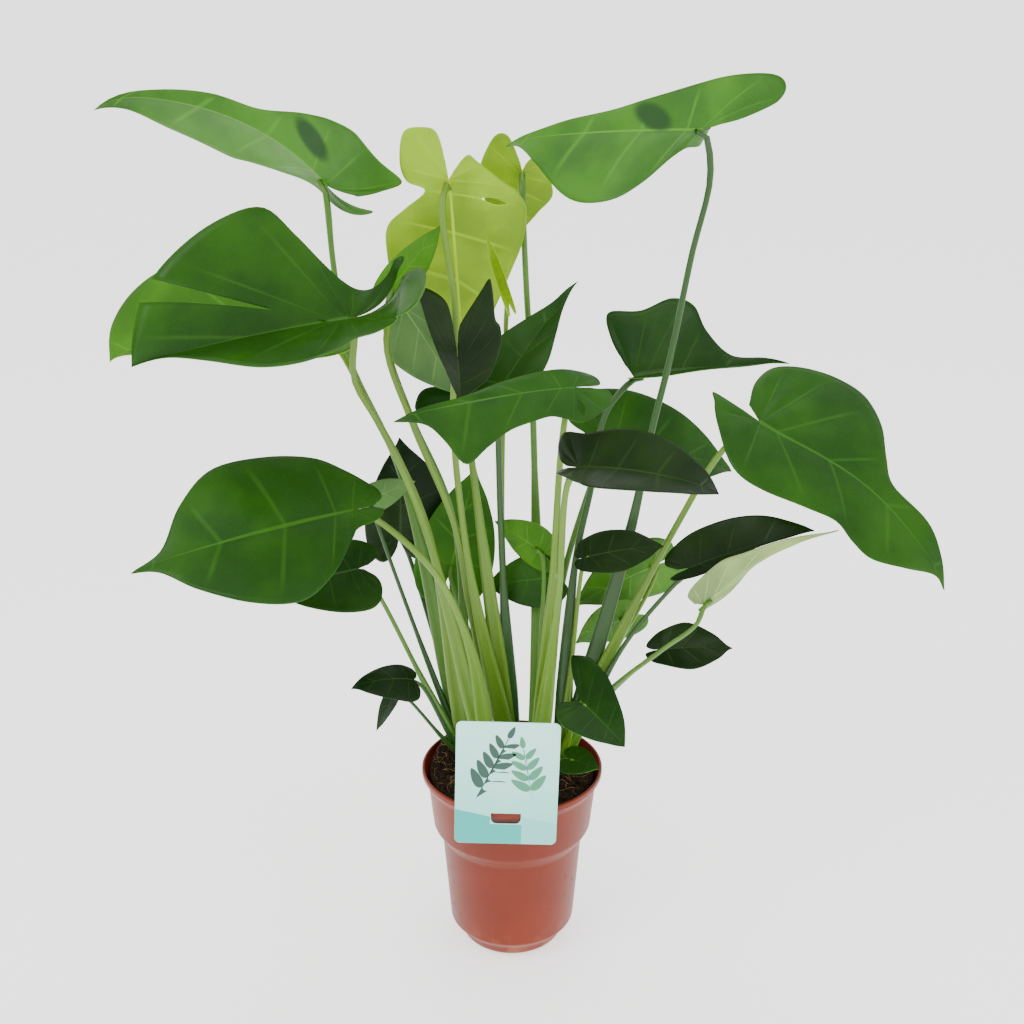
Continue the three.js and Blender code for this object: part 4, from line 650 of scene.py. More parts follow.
def bent_midrib(arch, hook):
    """Bent midrib of unit length with its ends on the X axis: rows of x, z and slope, and its stretch."""
    def part_hooked(q):
        return np.maximum(0, (q - HOOK_START) / (1 - HOOK_START))

    def slope_at(q):
        return (arch * (0.5 - q) - hook * part_hooked(q) ** HOOK_POWER) * DEGREE

    middles = slope_at((np.arange(MIDRIB_STEPS) + 0.5) / MIDRIB_STEPS)
    x = np.concatenate([[0], np.cumsum(np.cos(middles))]) / MIDRIB_STEPS
    z = np.concatenate([[0], np.cumsum(np.sin(middles))]) / MIDRIB_STEPS
    chord = math.hypot(x[-1], z[-1])
    turn = math.atan2(z[-1], x[-1])
    slopes = slope_at(np.arange(MIDRIB_STEPS + 1) / MIDRIB_STEPS) - turn
    return ((x * math.cos(turn) + z * math.sin(turn)) / chord,
            (z * math.cos(turn) - x * math.sin(turn)) / chord, slopes), 1 / chord


class Blade:
    """Middle surface of one leaf blade."""

    def __init__(self, leaf):
        self.leaf = leaf
        self.attach = np.array(leaf["attach"], float)
        run = np.array(leaf["tip"], float) - self.attach
        self.chord = np.linalg.norm(run)
        self.ex = run / self.chord
        face = np.array(leaf["face"], float)
        self.ez = unit(face - face @ self.ex * self.ex)
        self.ey = np.cross(self.ez, self.ex)
        self.midrib, stretch = bent_midrib(leaf["arch"], leaf["hook"])
        self.length = self.chord * stretch
        self.sides = [self.side(k, name) for k, name in enumerate(("left", "right"))]

    def side(self, k, name):
        leaf = self.leaf
        rear = leaf["rear"][k]
        edge = [n / 100 for n in leaf[name]]
        return {
            "sign": 1 - 2 * k,
            "u": [(u * rear if u < 0 else u) * self.length for u in edge[::2]],
            "w": [w * 2 * leaf["half"][k] for w in edge[1::2]],
            "feet": [q * self.length for q in leaf["feet"]],
            "half": leaf["half"][k],
            "fold": leaf["fold"][k] * DEGREE,
            "curl": leaf["curl"][k] * DEGREE,
            "lobe": leaf["lobe"][k] * DEGREE,
            "cuts": [cut[1:] for cut in leaf["cuts"] if cut[0] == name],
        }

    def push_from_cut(self, side, t, r, shift):
        """Place along the outline after the slits and holes have pushed it aside."""
        at = np.array(t, float)
        for middle, start, end, gap in side["cuts"]:
            off = t - middle
            towards = np.where(off == 0, shift, np.sign(off))
            part = np.clip((r - start) / (end - start), 0, 1)
            wide = gap / 2 * (np.sin(np.pi * part) if end < 1 else part ** SLIT_POWER)
            wide = np.where((r <= start) | ((end < 1) & (r >= end)), 0, wide)
            around = np.array([middle - CUT_STEP, middle + CUT_STEP])
            speed = math.hypot(*(np.diff(smooth_curve(side[key], around))[0] for key in ("u", "w")))
            push = np.minimum(wide / speed * 2 * CUT_STEP, CUT_LIMIT * CUT_SPREAD)
            moved = middle + towards * (push + np.abs(off) * (1 - push / CUT_SPREAD))
            at = np.where((np.abs(off) < CUT_SPREAD) & (towards != 0), moved, at)
        return at

    def point(self, k, t, r, shift):
        side = self.sides[k]
        at = self.push_from_cut(side, t, r, shift)
        foot = smooth_curve(side["feet"], at)
        foot = np.where(foot < SHORTEST_FOOT, 0, foot)
        u = foot + (smooth_curve(side["u"], at) - foot) * r
        w = np.maximum(0, smooth_curve(side["w"], at)) * r
        between = 0.5 + 0.5 * np.cos(2 * np.pi * SIDE_VEINS * t)
        size = min(1.0, self.length / RELIEF_LENGTH)
        inner = np.clip(w / QUILTING_START, 0, 1) * np.clip((1 - r) / QUILTING_END, 0, 1)
        quilt = QUILTING * size * between * inner
        wave = MARGIN_WAVE * size * r ** 4 * np.sin(2 * np.pi * MARGIN_WAVES * t + k + self.length)
        return self.place(k, u, w, quilt + wave)

    def place(self, k, u, w, lift=0.0):
        """Where points of the flat blade go: u along the midrib, w away from it, lift above the surface."""
        side = self.sides[k]
        q = u / self.length
        down = -self.midrib[2][0] + side["lobe"] * np.minimum(LOBE_LIMIT, -q / CURVE_LOBE)
        step = np.clip(q, 0, 1) * MIDRIB_STEPS
        x, z, slope = (np.interp(step, np.arange(MIDRIB_STEPS + 1), row) for row in self.midrib)
        x = np.where(q < 0, u * np.cos(down), x * self.chord)
        z = np.where(q < 0, -u * np.sin(down), z * self.chord)
        slope = np.where(q < 0, -down, slope)
        start = side["fold"]
        bend = side["curl"] / side["half"]
        if side["curl"]:
            lateral = (np.sin(start + bend * w) - math.sin(start)) / bend
            rise = (math.cos(start) - np.cos(start + bend * w)) / bend
        else:
            lateral = w * math.cos(start)
            rise = w * math.sin(start)
        rise = rise + lift
        sway = self.leaf["bow"] * np.sin(np.pi * np.clip(q, 0, 1)) ** 1.5
        along = x - np.sin(slope) * rise
        above = z + np.cos(slope) * rise
        across = side["sign"] * lateral + sway
        return (self.attach + along[..., None] * self.ex + across[..., None] * self.ey
                + above[..., None] * self.ez)


def blade_mesh(leaf):
    """Points, faces and face corner UVs of one blade's middle surface, with both lips of every cut."""
    blade = Blade(leaf)
    columns = BLADE_COLUMNS if blade.chord > SMALL_CHORD else SMALL_COLUMNS
    points = []
    faces = []
    uvs = []
    for k, side in enumerate(blade.sides):
        marks = np.linspace(0, 1, BLADE_ROWS + 1)
        stations = [(j / columns, False) for j in range(columns + 1)]
        for middle, start, end, _ in side["cuts"]:
            stations[round(middle * columns)] = (middle, True)
            for edge in (start, end):
                if edge < 1:
                    marks[np.argmin(np.abs(marks - edge))] = edge

        def column(t, shift):
            first = len(points)
            points.extend(blade.point(k, np.full(marks.shape, t), marks, shift))
            return first

        before = column(0.0, 1)
        before_t = 0.0
        for t, is_cut in stations[1:]:
            after = column(t, -1)
            for i in range(BLADE_ROWS):
                quad = [(before + i, before_t, marks[i]), (after + i, t, marks[i]),
                        (after + i + 1, t, marks[i + 1]), (before + i + 1, before_t, marks[i + 1])]
                if k == 1:
                    quad.reverse()
                faces.append([corner[0] for corner in quad])
                uvs.extend(corner[1:] for corner in quad)
            before = column(t, 1) if is_cut else after
            before_t = t
    return points, faces, uvs


def build_blade(leaf):
    name = leaf["name"]
    points, faces, uvs = blade_mesh(leaf)
    upper, lower = leaf["greens"]
    skins = [leaf_skin(upper, False, name), leaf_skin(lower, True, name)]
    made = mesh_object(f"leaf_{name}", points, faces, skins, uvs)
    tidy_mesh(made)
    apply_modifier(made, "SOLIDIFY", thickness=BLADE_THICKNESS * MM, offset=0.0, material_offset=1,
                   material_offset_rim=1)
    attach(made, "root")
    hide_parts(f"blade_{name}")


def leaf_skin(green, underside, name):
    """The skin of one green, shared by the blades that have no patches of painted shade."""
    key = f"{'underside' if underside else 'upper'}_{green}"
    patches = SHADE_PATCHES.get(name, ())
    if patches:
        key += f"_{name}"
    return bpy.data.materials.get(key) or leaf_material(key, GREENS[green], underside, patches)


# Stalks

def route_curve(points, samples=24):
    """Centripetal Catmull-Rom curve through the points, evenly resampled: returns a function of 0 to 1."""
    points = [np.array(p, float) for p in points]
    wide = [2 * points[0] - points[1]] + points + [2 * points[-1] - points[-2]]
    line = [points[0]]
    for p0, p1, p2, p3 in zip(wide, wide[1:], wide[2:], wide[3:]):
        d0, d1, d2 = (math.sqrt(max(np.linalg.norm(b - a), 1e-8)) for a, b in ((p0, p1), (p1, p2), (p2, p3)))
        m1 = ((p1 - p0) / d0 - (p2 - p0) / (d0 + d1) + (p2 - p1) / d1) * d1
        m2 = ((p2 - p1) / d1 - (p3 - p1) / (d1 + d2) + (p3 - p2) / d2) * d1
        for i in range(1, samples + 1):
            t = i / samples
            line.append((2 * p1 - 2 * p2 + m1 + m2) * t ** 3 + (-3 * p1 + 3 * p2 - 2 * m1 - m2) * t ** 2
                        + m1 * t + p1)
    line = np.array(line)
    run = np.concatenate([[0], np.cumsum(np.linalg.norm(np.diff(line, axis=0), axis=1))])
    run /= run[-1]
    return lambda s: np.array([np.interp(s, run, line[:, j]) for j in range(3)])


def stalk_route(leaf):
    blade = Blade(leaf)
    ahead = unit(blade.place(0, np.array(float(STALK_RUN)), np.array(0.0)) - blade.attach)
    up = unit(blade.ez - blade.ez @ ahead * ahead)
    start = np.array([*CROWNS[leaf["crown"]], SOIL_LEVEL + STUB_RISE / 2], float)
    towards = np.array(leaf["via"][-1], float) - start
    towards[2] = 0
    start += towards * min(ROOT_SHARE, ROOT_OFFSET / (np.linalg.norm(towards) + 1))
    under = blade.attach - up * SINK * leaf["stalk"]
    return [start, *leaf["via"][::-1], under, under + ahead * STALK_RUN]


def stalk_size(leaf, s):
    """Half width and half depth of a stalk at the part s of its way up."""
    plain = leaf["stalk"] * (1 + STALK_TAPER * (1 - s))
    low = min(1, SHEATH_SPREAD * max(0, 1 - s / SHEATH_PART))
    knee = 0
    if s > KNEE_START:
        knee = KNEE_SWELL * math.sin(math.pi * min(1, (s - KNEE_START) / (KNEE_END - KNEE_START)))
    sheath = plain + max(0, leaf["sheath"] - plain) * low
    return (ROOT_NARROW if s == 0 else 1) * sheath + knee, plain + knee


def ring_faces(low, sides):
    """Faces from the ring of points that starts at number low to the next ring."""
    return [[low + j, low + (j + 1) % sides, low + sides + (j + 1) % sides, low + sides + j]
            for j in range(sides)]


def stalk_mesh(leaf):
    """Points, faces and UVs of one stalk. Its sheathed part has a groove down the side that faces front."""
    curve = route_curve(stalk_route(leaf))
    across = np.array([1.0, 0, 0])
    points = []
    angles = 2 * np.pi * np.arange(STALK_SIDES) / STALK_SIDES
    for i in range(STALK_STEPS + 1):
        s = i / STALK_STEPS
        ahead = unit(curve(min(1, s + TANGENT_STEP)) - curve(max(0, s - TANGENT_STEP)))
        across = unit(across - across @ ahead * ahead)
        deep = np.cross(ahead, across)
        wide, thick = stalk_size(leaf, s)
        groove = SHEATH_GROOVE * max(0.0, min(1.0, (SHEATH_PART - s) / GROOVE_FADE)) + STALK_GROOVE
        reach = thick * (1 - groove * np.exp(-((angles - 1.5 * np.pi) / GROOVE_SPREAD) ** 2))
        centre = curve(s)
        for angle, depth in zip(angles, reach):
            points.append(centre + across * wide * math.cos(angle) + deep * depth * math.sin(angle))
    faces = []
    uvs = []
    for i in range(STALK_STEPS):
        faces += ring_faces(i * STALK_SIDES, STALK_SIDES)
        v0, v1 = i / STALK_STEPS, (i + 1) / STALK_STEPS
        for j in range(STALK_SIDES):
            u0, u1 = j / STALK_SIDES, (j + 1) / STALK_SIDES
            uvs += [(u0, v0), (u1, v0), (u1, v1), (u0, v1)]
    top = STALK_STEPS * STALK_SIDES
    faces.append(list(range(STALK_SIDES))[::-1])
    faces.append([top + j for j in range(STALK_SIDES)])
    uvs += [(0, 0)] * STALK_SIDES + [(0, 1)] * STALK_SIDES
    return points, faces, uvs


def lathe(profile, sides):
    """Points and faces of a closed profile turned round the Z axis. Its ends lie on the axis."""
    points = [(0, 0, profile[0][1])]
    for r, z in profile[1:-1]:
        for j in range(sides):
            angle = 2 * math.pi * j / sides
            points.append((r * math.cos(angle), r * math.sin(angle), z))
    points.append((0, 0, profile[-1][1]))
    last = len(points) - 1
    faces = []
    rings = len(profile) - 2
    for j in range(sides):
        after = (j + 1) % sides
        faces.append([0, 1 + after, 1 + j])
        for i in range(rings - 1):
            low = 1 + i * sides
            faces.append([low + j, low + after, low + sides + after, low + sides + j])
        top = 1 + (rings - 1) * sides
        faces.append([top + j, top + after, last])
    return points, faces


def build_crown(name, centre):
    """The stub of one seedling and its stalks, as one piece."""
    points, faces = lathe([(0, -STUB_DEPTH), (STUB_RADIUS, -STUB_DEPTH), (STUB_RADIUS, -4),
                           (STUB_RADIUS * 0.96, 4), (STUB_RADIUS * STUB_TAPER, STUB_RISE - 3),
                           (STUB_RADIUS * 0.6, STUB_RISE), (0, STUB_RISE)], STUB_SIDES)
    points = [(x + centre[0], y + centre[1], z + SOIL_LEVEL) for x, y, z in points]
    uvs = [(0, 0)] * sum(len(face) for face in faces)
    skins = [bpy.data.materials[f"stalk_{key}"] for key in STEMS]
    chosen = [0] * len(faces)
    for leaf in LEAVES:
        if leaf["crown"] != name:
            continue
        more_points, more_faces, more_uvs = stalk_mesh(leaf)
        look = list(STEMS).index(leaf["stem"])
        faces += [[v + len(points) for v in face] for face in more_faces]
        points += more_points
        uvs += more_uvs
        chosen += [look] * len(more_faces)
    made = mesh_object(f"stalks_{name}", points, faces, skins, uvs, chosen)
    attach(made, "root")
    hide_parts(f"crown_{name}")


# Pot

def rounded(profile, radius, steps=4):
    """A profile whose inner corners are rounded."""
    profile = [np.array(p, float) for p in profile]
    out = [profile[0]]
    for before, corner, after in zip(profile, profile[1:], profile[2:]):
        reach = min(radius, 0.45 * np.linalg.norm(corner - before), 0.45 * np.linalg.norm(after - corner))
        a = corner + unit(before - corner) * reach
        b = corner + unit(after - corner) * reach
        for i in range(steps + 1):
            t = i / steps
            out.append((1 - t) ** 2 * a + 2 * t * (1 - t) * corner + t ** 2 * b)
    out.append(profile[-1])
    return out


def build_pot():
    lip_bottom = POT_HEIGHT - LIP_HEIGHT
    collar_top = lip_bottom - LIP_FLARE
    outer = [(0, 0), (FOOT_RADIUS, 0), (FOOT_BULGE, FOOT_BULGE_HEIGHT), (FOOT_TOP_RADIUS, FOOT_TOP),
             (BODY_BOTTOM_RADIUS, BODY_BOTTOM), (BODY_TOP_RADIUS, BODY_TOP),
             (COLLAR_BOTTOM_RADIUS, COLLAR_BOTTOM), (COLLAR_TOP_RADIUS, collar_top),
             (LIP_RADIUS - LIP_ROUND, lip_bottom), (LIP_RADIUS, lip_bottom + LIP_ROUND),
             (LIP_RADIUS, POT_HEIGHT - LIP_ROUND), (LIP_RADIUS - LIP_ROUND, POT_HEIGHT)]
    inner = [(LIP_RADIUS - LIP_WIDTH, POT_HEIGHT),
             (LIP_RADIUS - LIP_WIDTH - LIP_ROUND, lip_bottom + LIP_ROUND),
             (COLLAR_TOP_RADIUS - WALL, collar_top - LIP_ROUND), (COLLAR_BOTTOM_RADIUS - WALL, COLLAR_BOTTOM),
             (BODY_TOP_RADIUS - WALL, BODY_TOP), (BODY_BOTTOM_RADIUS - WALL, BODY_BOTTOM),
             (FOOT_TOP_RADIUS - WALL, FOOT_TOP), (FOOT_RADIUS, FLOOR), (0, FLOOR)]
    points, faces = lathe(rounded(outer + inner, POT_ROUNDING), POT_SIDES)
    made = mesh_object("nursery_pot", points, faces, [pot_material()])
    cutters = bmesh.new()
    for i in range(DRAIN_COUNT):
        angle = 2 * math.pi * (i + 0.5) / DRAIN_COUNT
        out = Vector((math.cos(angle), math.sin(angle), 0))
        spin = Euler((0, 0, angle)).to_matrix().to_4x4()
        hole = bmesh.ops.create_cone(cutters, cap_ends=True, segments=28, radius1=DRAIN_RADIUS * MM,
                                     radius2=DRAIN_RADIUS * MM, depth=4 * FLOOR * MM)
        bmesh.ops.translate(cutters, verts=hole["verts"], vec=out * DRAIN_CIRCLE * MM)
        groove = bmesh.ops.create_cube(cutters, size=1)
        bmesh.ops.scale(cutters, verts=groove["verts"],
                        vec=Vector((GROOVE_LENGTH, GROOVE_WIDTH, 2 * GROOVE_DEPTH)) * MM)
        bmesh.ops.rotate(cutters, verts=groove["verts"], matrix=spin)
        bmesh.ops.translate(cutters, verts=groove["verts"], vec=out * (DRAIN_CIRCLE + GROOVE_LENGTH / 2) * MM)
    mesh = bpy.data.meshes.new("drains")
    cutters.to_mesh(mesh)
    cutters.free()
    tool = bpy.data.objects.new("drains", mesh)
    bpy.context.scene.collection.objects.link(tool)
    bpy.context.view_layer.update()
    apply_modifier(made, "BOOLEAN", operation="DIFFERENCE", object=tool, use_self=True)
    bpy.data.objects.remove(tool)
    made.data.polygons.foreach_set("use_smooth", [True] * len(made.data.polygons))
    made.data.set_sharp_from_angle(angle=POT_SHARP_ANGLE * DEGREE)
    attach(made, "root")
    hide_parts("pot")


# Peat

def soil_top(x, y):
    r = np.hypot(x, y) / COLLAR_TOP_RADIUS
    away = np.hypot(x - MOUND_PLACE[0], y - MOUND_PLACE[1]) / MOUND_REACH
    level = SOIL_LEVEL + (SOIL_EDGE - SOIL_LEVEL) * r * r + MOUND_HEIGHT * np.exp(-away * away)
    broad = np.sin(0.31 * x + 1.3) * np.sin(0.27 * y + 0.4)
    fine = 0.6 * np.sin(0.53 * x - 0.61 * y)
    return level + SOIL_ROUGHNESS * (broad + fine) * np.minimum(1, 3 * (1 - r))


def crumb(centre, size, draw):
    """Points and faces of one crumb: a ball of twenty faces, stretched and with its corners pushed."""
    work = bmesh.new()
    bmesh.ops.create_icosphere(work, subdivisions=1, radius=1)
    stretch = draw.uniform(0.55, 1.2, 3)
    spin = Euler(draw.uniform(0, 6.28, 3)).to_matrix()
    points = []
    for v in work.verts:
        lump = v.co * draw.uniform(0.75, 1.2)
        points.append(np.array(spin @ lump) * stretch * size + centre)
    faces = [[v.index for v in face.verts] for face in work.faces]
    work.free()
    return points, faces


def fibre(start, draw):
    """Points and faces of one thin root or fibre that lies on the peat."""
    length = draw.uniform(8, 34)
    heading = draw.uniform(0, 2 * np.pi)
    bend = draw.uniform(-2.2, 2.2)
    lift = draw.uniform(0.5, 4)
    radius = draw.uniform(0.18, 0.42)
    line = []
    x, y = start
    for i in range(FIBRE_STEPS + 1):
        s = i / FIBRE_STEPS
        line.append((x, y, float(soil_top(x, y)) + 0.3 + lift * math.sin(math.pi * s) * 0.6))
        turn = heading + bend * s
        x += math.cos(turn) * length / FIBRE_STEPS
        y += math.sin(turn) * length / FIBRE_STEPS
        if math.hypot(x, y) > COLLAR_TOP_RADIUS - FIBRE_CLEAR:
            x, y = x * FIBRE_RETURN, y * FIBRE_RETURN
    points = []
    for x, y, z in line:
        for j in range(FIBRE_SIDES):
            angle = 2 * math.pi * j / FIBRE_SIDES
            points.append((x + radius * math.cos(angle) * math.sin(heading),
                           y - radius * math.cos(angle) * math.cos(heading), z + radius * math.sin(angle)))
    return points, [face for i in range(FIBRE_STEPS) for face in ring_faces(i * FIBRE_SIDES, FIBRE_SIDES)]


def build_soil():
    clear = WALL + GAP
    rim = COLLAR_TOP_RADIUS - clear - SLOPE_CLEARANCE
    side = [(0, FLOOR + GAP), (FOOT_RADIUS - SLOPE_CLEARANCE, FLOOR + GAP),
            (FOOT_TOP_RADIUS - clear - SLOPE_CLEARANCE, FOOT_TOP),
            (BODY_BOTTOM_RADIUS - clear - SLOPE_CLEARANCE, BODY_BOTTOM), (BODY_TOP_RADIUS - clear, BODY_TOP),
            (COLLAR_BOTTOM_RADIUS - clear, COLLAR_BOTTOM + SLOPE_CLEARANCE), (rim, SOIL_SHOULDER)]
    top = [(rim * i / SOIL_RINGS, SOIL_LEVEL) for i in range(SOIL_RINGS, -1, -1)]
    points, faces = lathe(side + top, SOIL_SIDES)
    draw = np.random.default_rng(PEAT_SEED)
    for i, (x, y, z) in enumerate(points):
        if z == SOIL_LEVEL:
            rough = draw.normal(0, 0.45) if math.hypot(x, y) < rim - 2 else 0
            points[i] = (x, y, float(soil_top(x, y)) + rough)
    skins = [peat_material("peat", 0x17100b, 0x3a281b), peat_material("peat_brown", 0x2a1a10, 0x5b4028),
             peat_material("root_fibre", 0x6b4f33, 0xa98a5f)]
    chosen = [0] * len(faces)
    bits = []
    for _ in range(CRUMBS):
        r = rim * math.sqrt(draw.uniform(0, 0.97))
        angle = draw.uniform(0, 2 * np.pi)
        x, y = r * math.cos(angle), r * math.sin(angle)
        size = 0.7 + 1.7 * draw.uniform() ** 3
        z = float(soil_top(x, y)) + 0.3 * size
        bits.append((*crumb(np.array([x, y, z]), size, draw), int(draw.uniform() < 0.35)))
    for _ in range(FIBRES):
        r = (rim - 6) * math.sqrt(draw.uniform(0, 1))
        angle = draw.uniform(0, 2 * np.pi)
        bits.append((*fibre((r * math.cos(angle), r * math.sin(angle)), draw), 2))
    for more_points, more_faces, look in bits:
        faces += [[v + len(points) for v in face] for face in more_faces]
        points += more_points
        chosen += [look] * len(more_faces)
    made = mesh_object("peat", points, faces, skins, None, chosen)
    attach(made, "root")
    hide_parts("soil")


# Card

def arc(centre, radius, start, end, steps=8):
    return [(centre[0] + radius * math.cos(start + (end - start) * i / steps),
             centre[1] + radius * math.sin(start + (end - start) * i / steps)) for i in range(steps + 1)]


def flat_shape(name, outlines, y, thickness, material):
    """A filled shape of closed outlines in X and Z, standing at depth y."""
    curve = bpy.data.curves.new(name, "CURVE")
    curve.dimensions = "2D"
    curve.fill_mode = "BOTH"
    curve.extrude = thickness / 2 * MM
    for outline in outlines:
        spline = curve.splines.new("POLY")
        spline.points.add(len(outline) - 1)
        for point, (x, z) in zip(spline.points, outline):
            point.co = (x * MM, z * MM, 0, 1)
        spline.use_cyclic_u = True
    held = bpy.data.objects.new(name + "_curve", curve)
    bpy.context.scene.collection.objects.link(held)
    mesh = bpy.data.meshes.new_from_object(held.evaluated_get(bpy.context.evaluated_depsgraph_get()))
    bpy.data.objects.remove(held)
    mesh.transform(Euler((math.pi / 2, 0, 0)).to_matrix().to_4x4())
    mesh.transform(Matrix.Translation((0, y * MM, 0)))
    mesh.materials.clear()
    mesh.materials.append(material)
    made = bpy.data.objects.new(name, mesh)
    bpy.context.scene.collection.objects.link(made)
    return made


def hang(made):
    """Rolls a piece of the card to its place on the rim."""
    pivot = Vector((0, 0, (POT_HEIGHT + GAP) * MM))
    spin = Euler((0, CARD_ROLL * DEGREE, 0)).to_matrix()
    shift = Vector((CARD_CENTRE_X * MM, 0, CARD_LIFT * MM))
    for v in made.data.vertices:
        v.co = spin @ (v.co - pivot) + pivot + shift
    return made


def sprig(root, heading, length, pairs, leaflet):
    """Outlines of a generic sprig: a stem and pairs of oval leaflets."""
    outlines = []
    for i in range(pairs):
        s = (i + 1) / pairs
        base = (root[0] + math.cos(heading) * length * s, root[1] + math.sin(heading) * length * s)
        size = leaflet * (1 - 0.45 * s)
        turns = (0.0,) if i == pairs - 1 else (0.85, -0.85)
        for turn in turns:
            way = heading + turn
            middle = (base[0] + math.cos(way) * size * 0.55, base[1] + math.sin(way) * size * 0.55)
            outline = []
            for a, b in arc((0, 0), 1, 0, 2 * math.pi * 23 / 24, 23):
                u, v = a * size * 0.5, b * size * 0.2 * (1 - 0.35 * a)
                outline.append((middle[0] + u * math.cos(way) - v * math.sin(way),
                                middle[1] + u * math.sin(way) + v * math.cos(way)))
            outlines.append(outline)
    side = (-math.sin(heading) * 0.5, math.cos(heading) * 0.5)
    end = (root[0] + math.cos(heading) * length, root[1] + math.sin(heading) * length)
    outlines.append([(root[0] + side[0], root[1] + side[1]), (root[0] - side[0], root[1] - side[1]),
                     (end[0] - side[0], end[1] - side[1]), (end[0] + side[0], end[1] + side[1])])
    return outlines


def build_card():
    half = CARD_WIDTH / 2
    r = CARD_CORNER
    quarter = math.pi / 2
    edge = (arc((half - r, CARD_BOTTOM + r), r, -quarter, 0) + arc((half - r, CARD_TOP - r), r, 0, quarter)
            + arc((-half + r, CARD_TOP - r), r, quarter, 2 * quarter)
            + arc((-half + r, CARD_BOTTOM + r), r, 2 * quarter, 3 * quarter))
    hang_height = POT_HEIGHT + GAP
    w = TONGUE_WIDTH / 2
    low = hang_height - WINDOW_HEIGHT + WINDOW_CORNER
    window = ([(w, hang_height)] + arc((w - WINDOW_CORNER, low), WINDOW_CORNER, 0, -quarter)
              + arc((-w + WINDOW_CORNER, low), WINDOW_CORNER, -quarter, -2 * quarter) + [(-w, hang_height)])
    front = -LIP_RADIUS - GAP - CARD_THICKNESS / 2
    skin = card_material()
    card = hang(flat_shape("label_card", [edge, window], front, CARD_THICKNESS, skin))

    back = -TONGUE_BACK
    top = hang_height + CARD_THICKNESS / 2
    bend = TONGUE_BEND
    path = [(front, hang_height - TONGUE_TUCK), (front, top - bend)]
    path += arc((front + bend, top - bend), bend, math.pi, quarter, 5)[1:]
    path += arc((back - bend, top - bend), bend, quarter, 0, 5) + [(back, hang_height - TONGUE_DROP)]
    points = []
    for (y0, z0), (y1, z1), (y, z) in zip([path[0]] + path, path[1:] + [path[-1]], path):
        along = unit(np.array([y1 - y0, z1 - z0]))
        for x in (-w, w):
            for lift in (-0.5, 0.5):
                points.append((x, y - along[1] * lift * CARD_THICKNESS, z + along[0] * lift * CARD_THICKNESS))
    faces = [[0, 1, 3, 2], [len(points) - 4, len(points) - 2, len(points) - 1, len(points) - 3]]
    for i in range(len(path) - 1):
        a = 4 * i
        b = a + 4
        faces += [[a, a + 2, b + 2, b], [a + 1, b + 1, b + 3, a + 3], [a, b, b + 1, a + 1],
                  [a + 2, a + 3, b + 3, b + 2]]
    tongue = hang(mesh_object("label_tongue", points, faces, [skin], smooth=False))
    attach(card, "root")
    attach(tongue, "root")
    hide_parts("label")
    return front


def build_print(front):
    """A generic design of the card's own colours: a band along its foot and sprigs of oval leaflets."""
    half = CARD_WIDTH / 2
    inset = CARD_CORNER
    y = front - CARD_THICKNESS / 2 - PRINT_LIFT / 2
    foot = CARD_BOTTOM + 0.2
    w = TONGUE_WIDTH / 2 + PRINT_CLEAR
    low = POT_HEIGHT + GAP - WINDOW_HEIGHT - PRINT_CLEAR

    def wave(x):
        return BAND_HEIGHT - BAND_DROP * (x + half) / CARD_WIDTH + BAND_WAVE * math.sin(x * 0.09)

    corner = arc((-half + inset, foot + inset), inset - 0.2, math.pi, 1.5 * math.pi)
    left = [(-half + 0.3, wave(-half))] + corner + [(-w, foot), (-w, wave(-w))]
    middle = [(-w, low), (-w, foot), (w, foot), (w, low)]
    right = [(w, foot)] + arc((half - inset, foot + inset), inset - 0.2, -math.pi / 2, 0)
    right += [(half - 0.3, wave(half)), (w, wave(w))]
    inks = {name: plain_material(f"print_{name}", colour, 0.35) for name, colour in INKS.items()}
    pieces = (("band_left", [left], "teal"), ("band_middle", [middle], "teal"),
              ("band_right", [right], "pale"), ("sprig_dark", sprig((-30, 222), 1.15, 74, 6, 26), "dark"),
              ("sprig_green", sprig((26, 220), 1.75, 60, 5, 24), "green"))
    for name, outlines, ink in pieces:
        piece = hang(flat_shape(f"print_{name}", outlines, y, PRINT_LIFT, inks[ink]))
        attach(piece, "root")


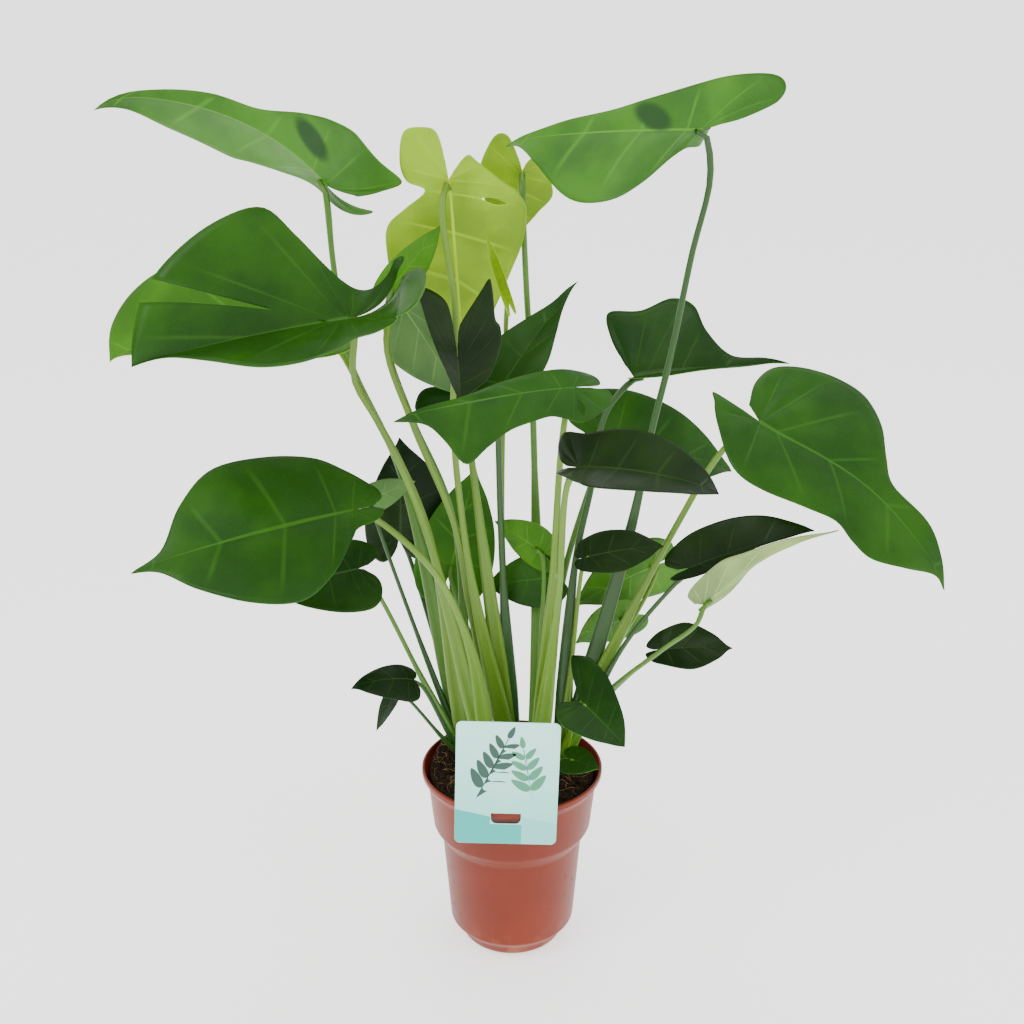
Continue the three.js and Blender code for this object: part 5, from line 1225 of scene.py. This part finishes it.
# Surroundings

def build_stage():
    bpy.ops.mesh.primitive_plane_add(size=STAGE_SIZE, location=(0, 0, -STAGE_DROP))
    floor = bpy.context.object
    floor.name = "floor"
    skin = plain_material("pale_floor", 0xfcfcfb, 0.8, grain=6.0, spread=0.01)
    surface = skin.node_tree.nodes["Principled BSDF"]
    surface.inputs["Emission Color"].default_value = (1, 1, 1, 1)
    surface.inputs["Emission Strength"].default_value = FLOOR_GLOW
    floor.data.materials.append(skin)


def add_light(name, place, size, power):
    """A soft round lamp that shines at the middle of the plant."""
    lamp = bpy.data.lights.new(name, "AREA")
    lamp.shape = "DISK"
    lamp.size = size
    lamp.energy = power
    made = bpy.data.objects.new(name, lamp)
    made.location = place
    made.rotation_euler = (Vector(LIGHT_TARGET) - Vector(place)).to_track_quat("-Z", "Y").to_euler()
    bpy.context.scene.collection.objects.link(made)


def build_lights():
    world = bpy.data.worlds.new("studio")
    world.use_nodes = True
    background = world.node_tree.nodes["Background"]
    background.inputs["Color"].default_value = (1, 1, 1, 1)
    background.inputs["Strength"].default_value = WORLD_GLOW
    bpy.context.scene.world = world
    add_light("key", (-1.1, -1.3, 2.2), 1.2, 25)
    add_light("fill", (1.6, -1.2, 1.2), 1.6, 10)
    add_light("top", (0.2, 0.9, 2.4), 1.4, 12)


def build_camera():
    camera = bpy.data.cameras.new("camera")
    camera.sensor_width = SENSOR
    camera.lens = FOCAL_PIXELS * SENSOR / PICTURE_PIXELS
    made = bpy.data.objects.new("camera", camera)
    made.location = CAMERA_PLACE
    made.rotation_euler = (math.pi / 2 - CAMERA_PITCH * DEGREE, 0, 0)
    bpy.context.scene.collection.objects.link(made)
    bpy.context.scene.camera = made


build_camera()
build_stage()
build_lights()
for stem_name, stem_code in STEMS.items():
    stalk_material(f"stalk_{stem_name}", stem_code)
build_pot()
build_soil()
build_print(build_card())
for crown_name, crown_centre in CROWNS.items():
    build_crown(crown_name, crown_centre)
for leaf_row in LEAVES:
    build_blade(leaf_row)
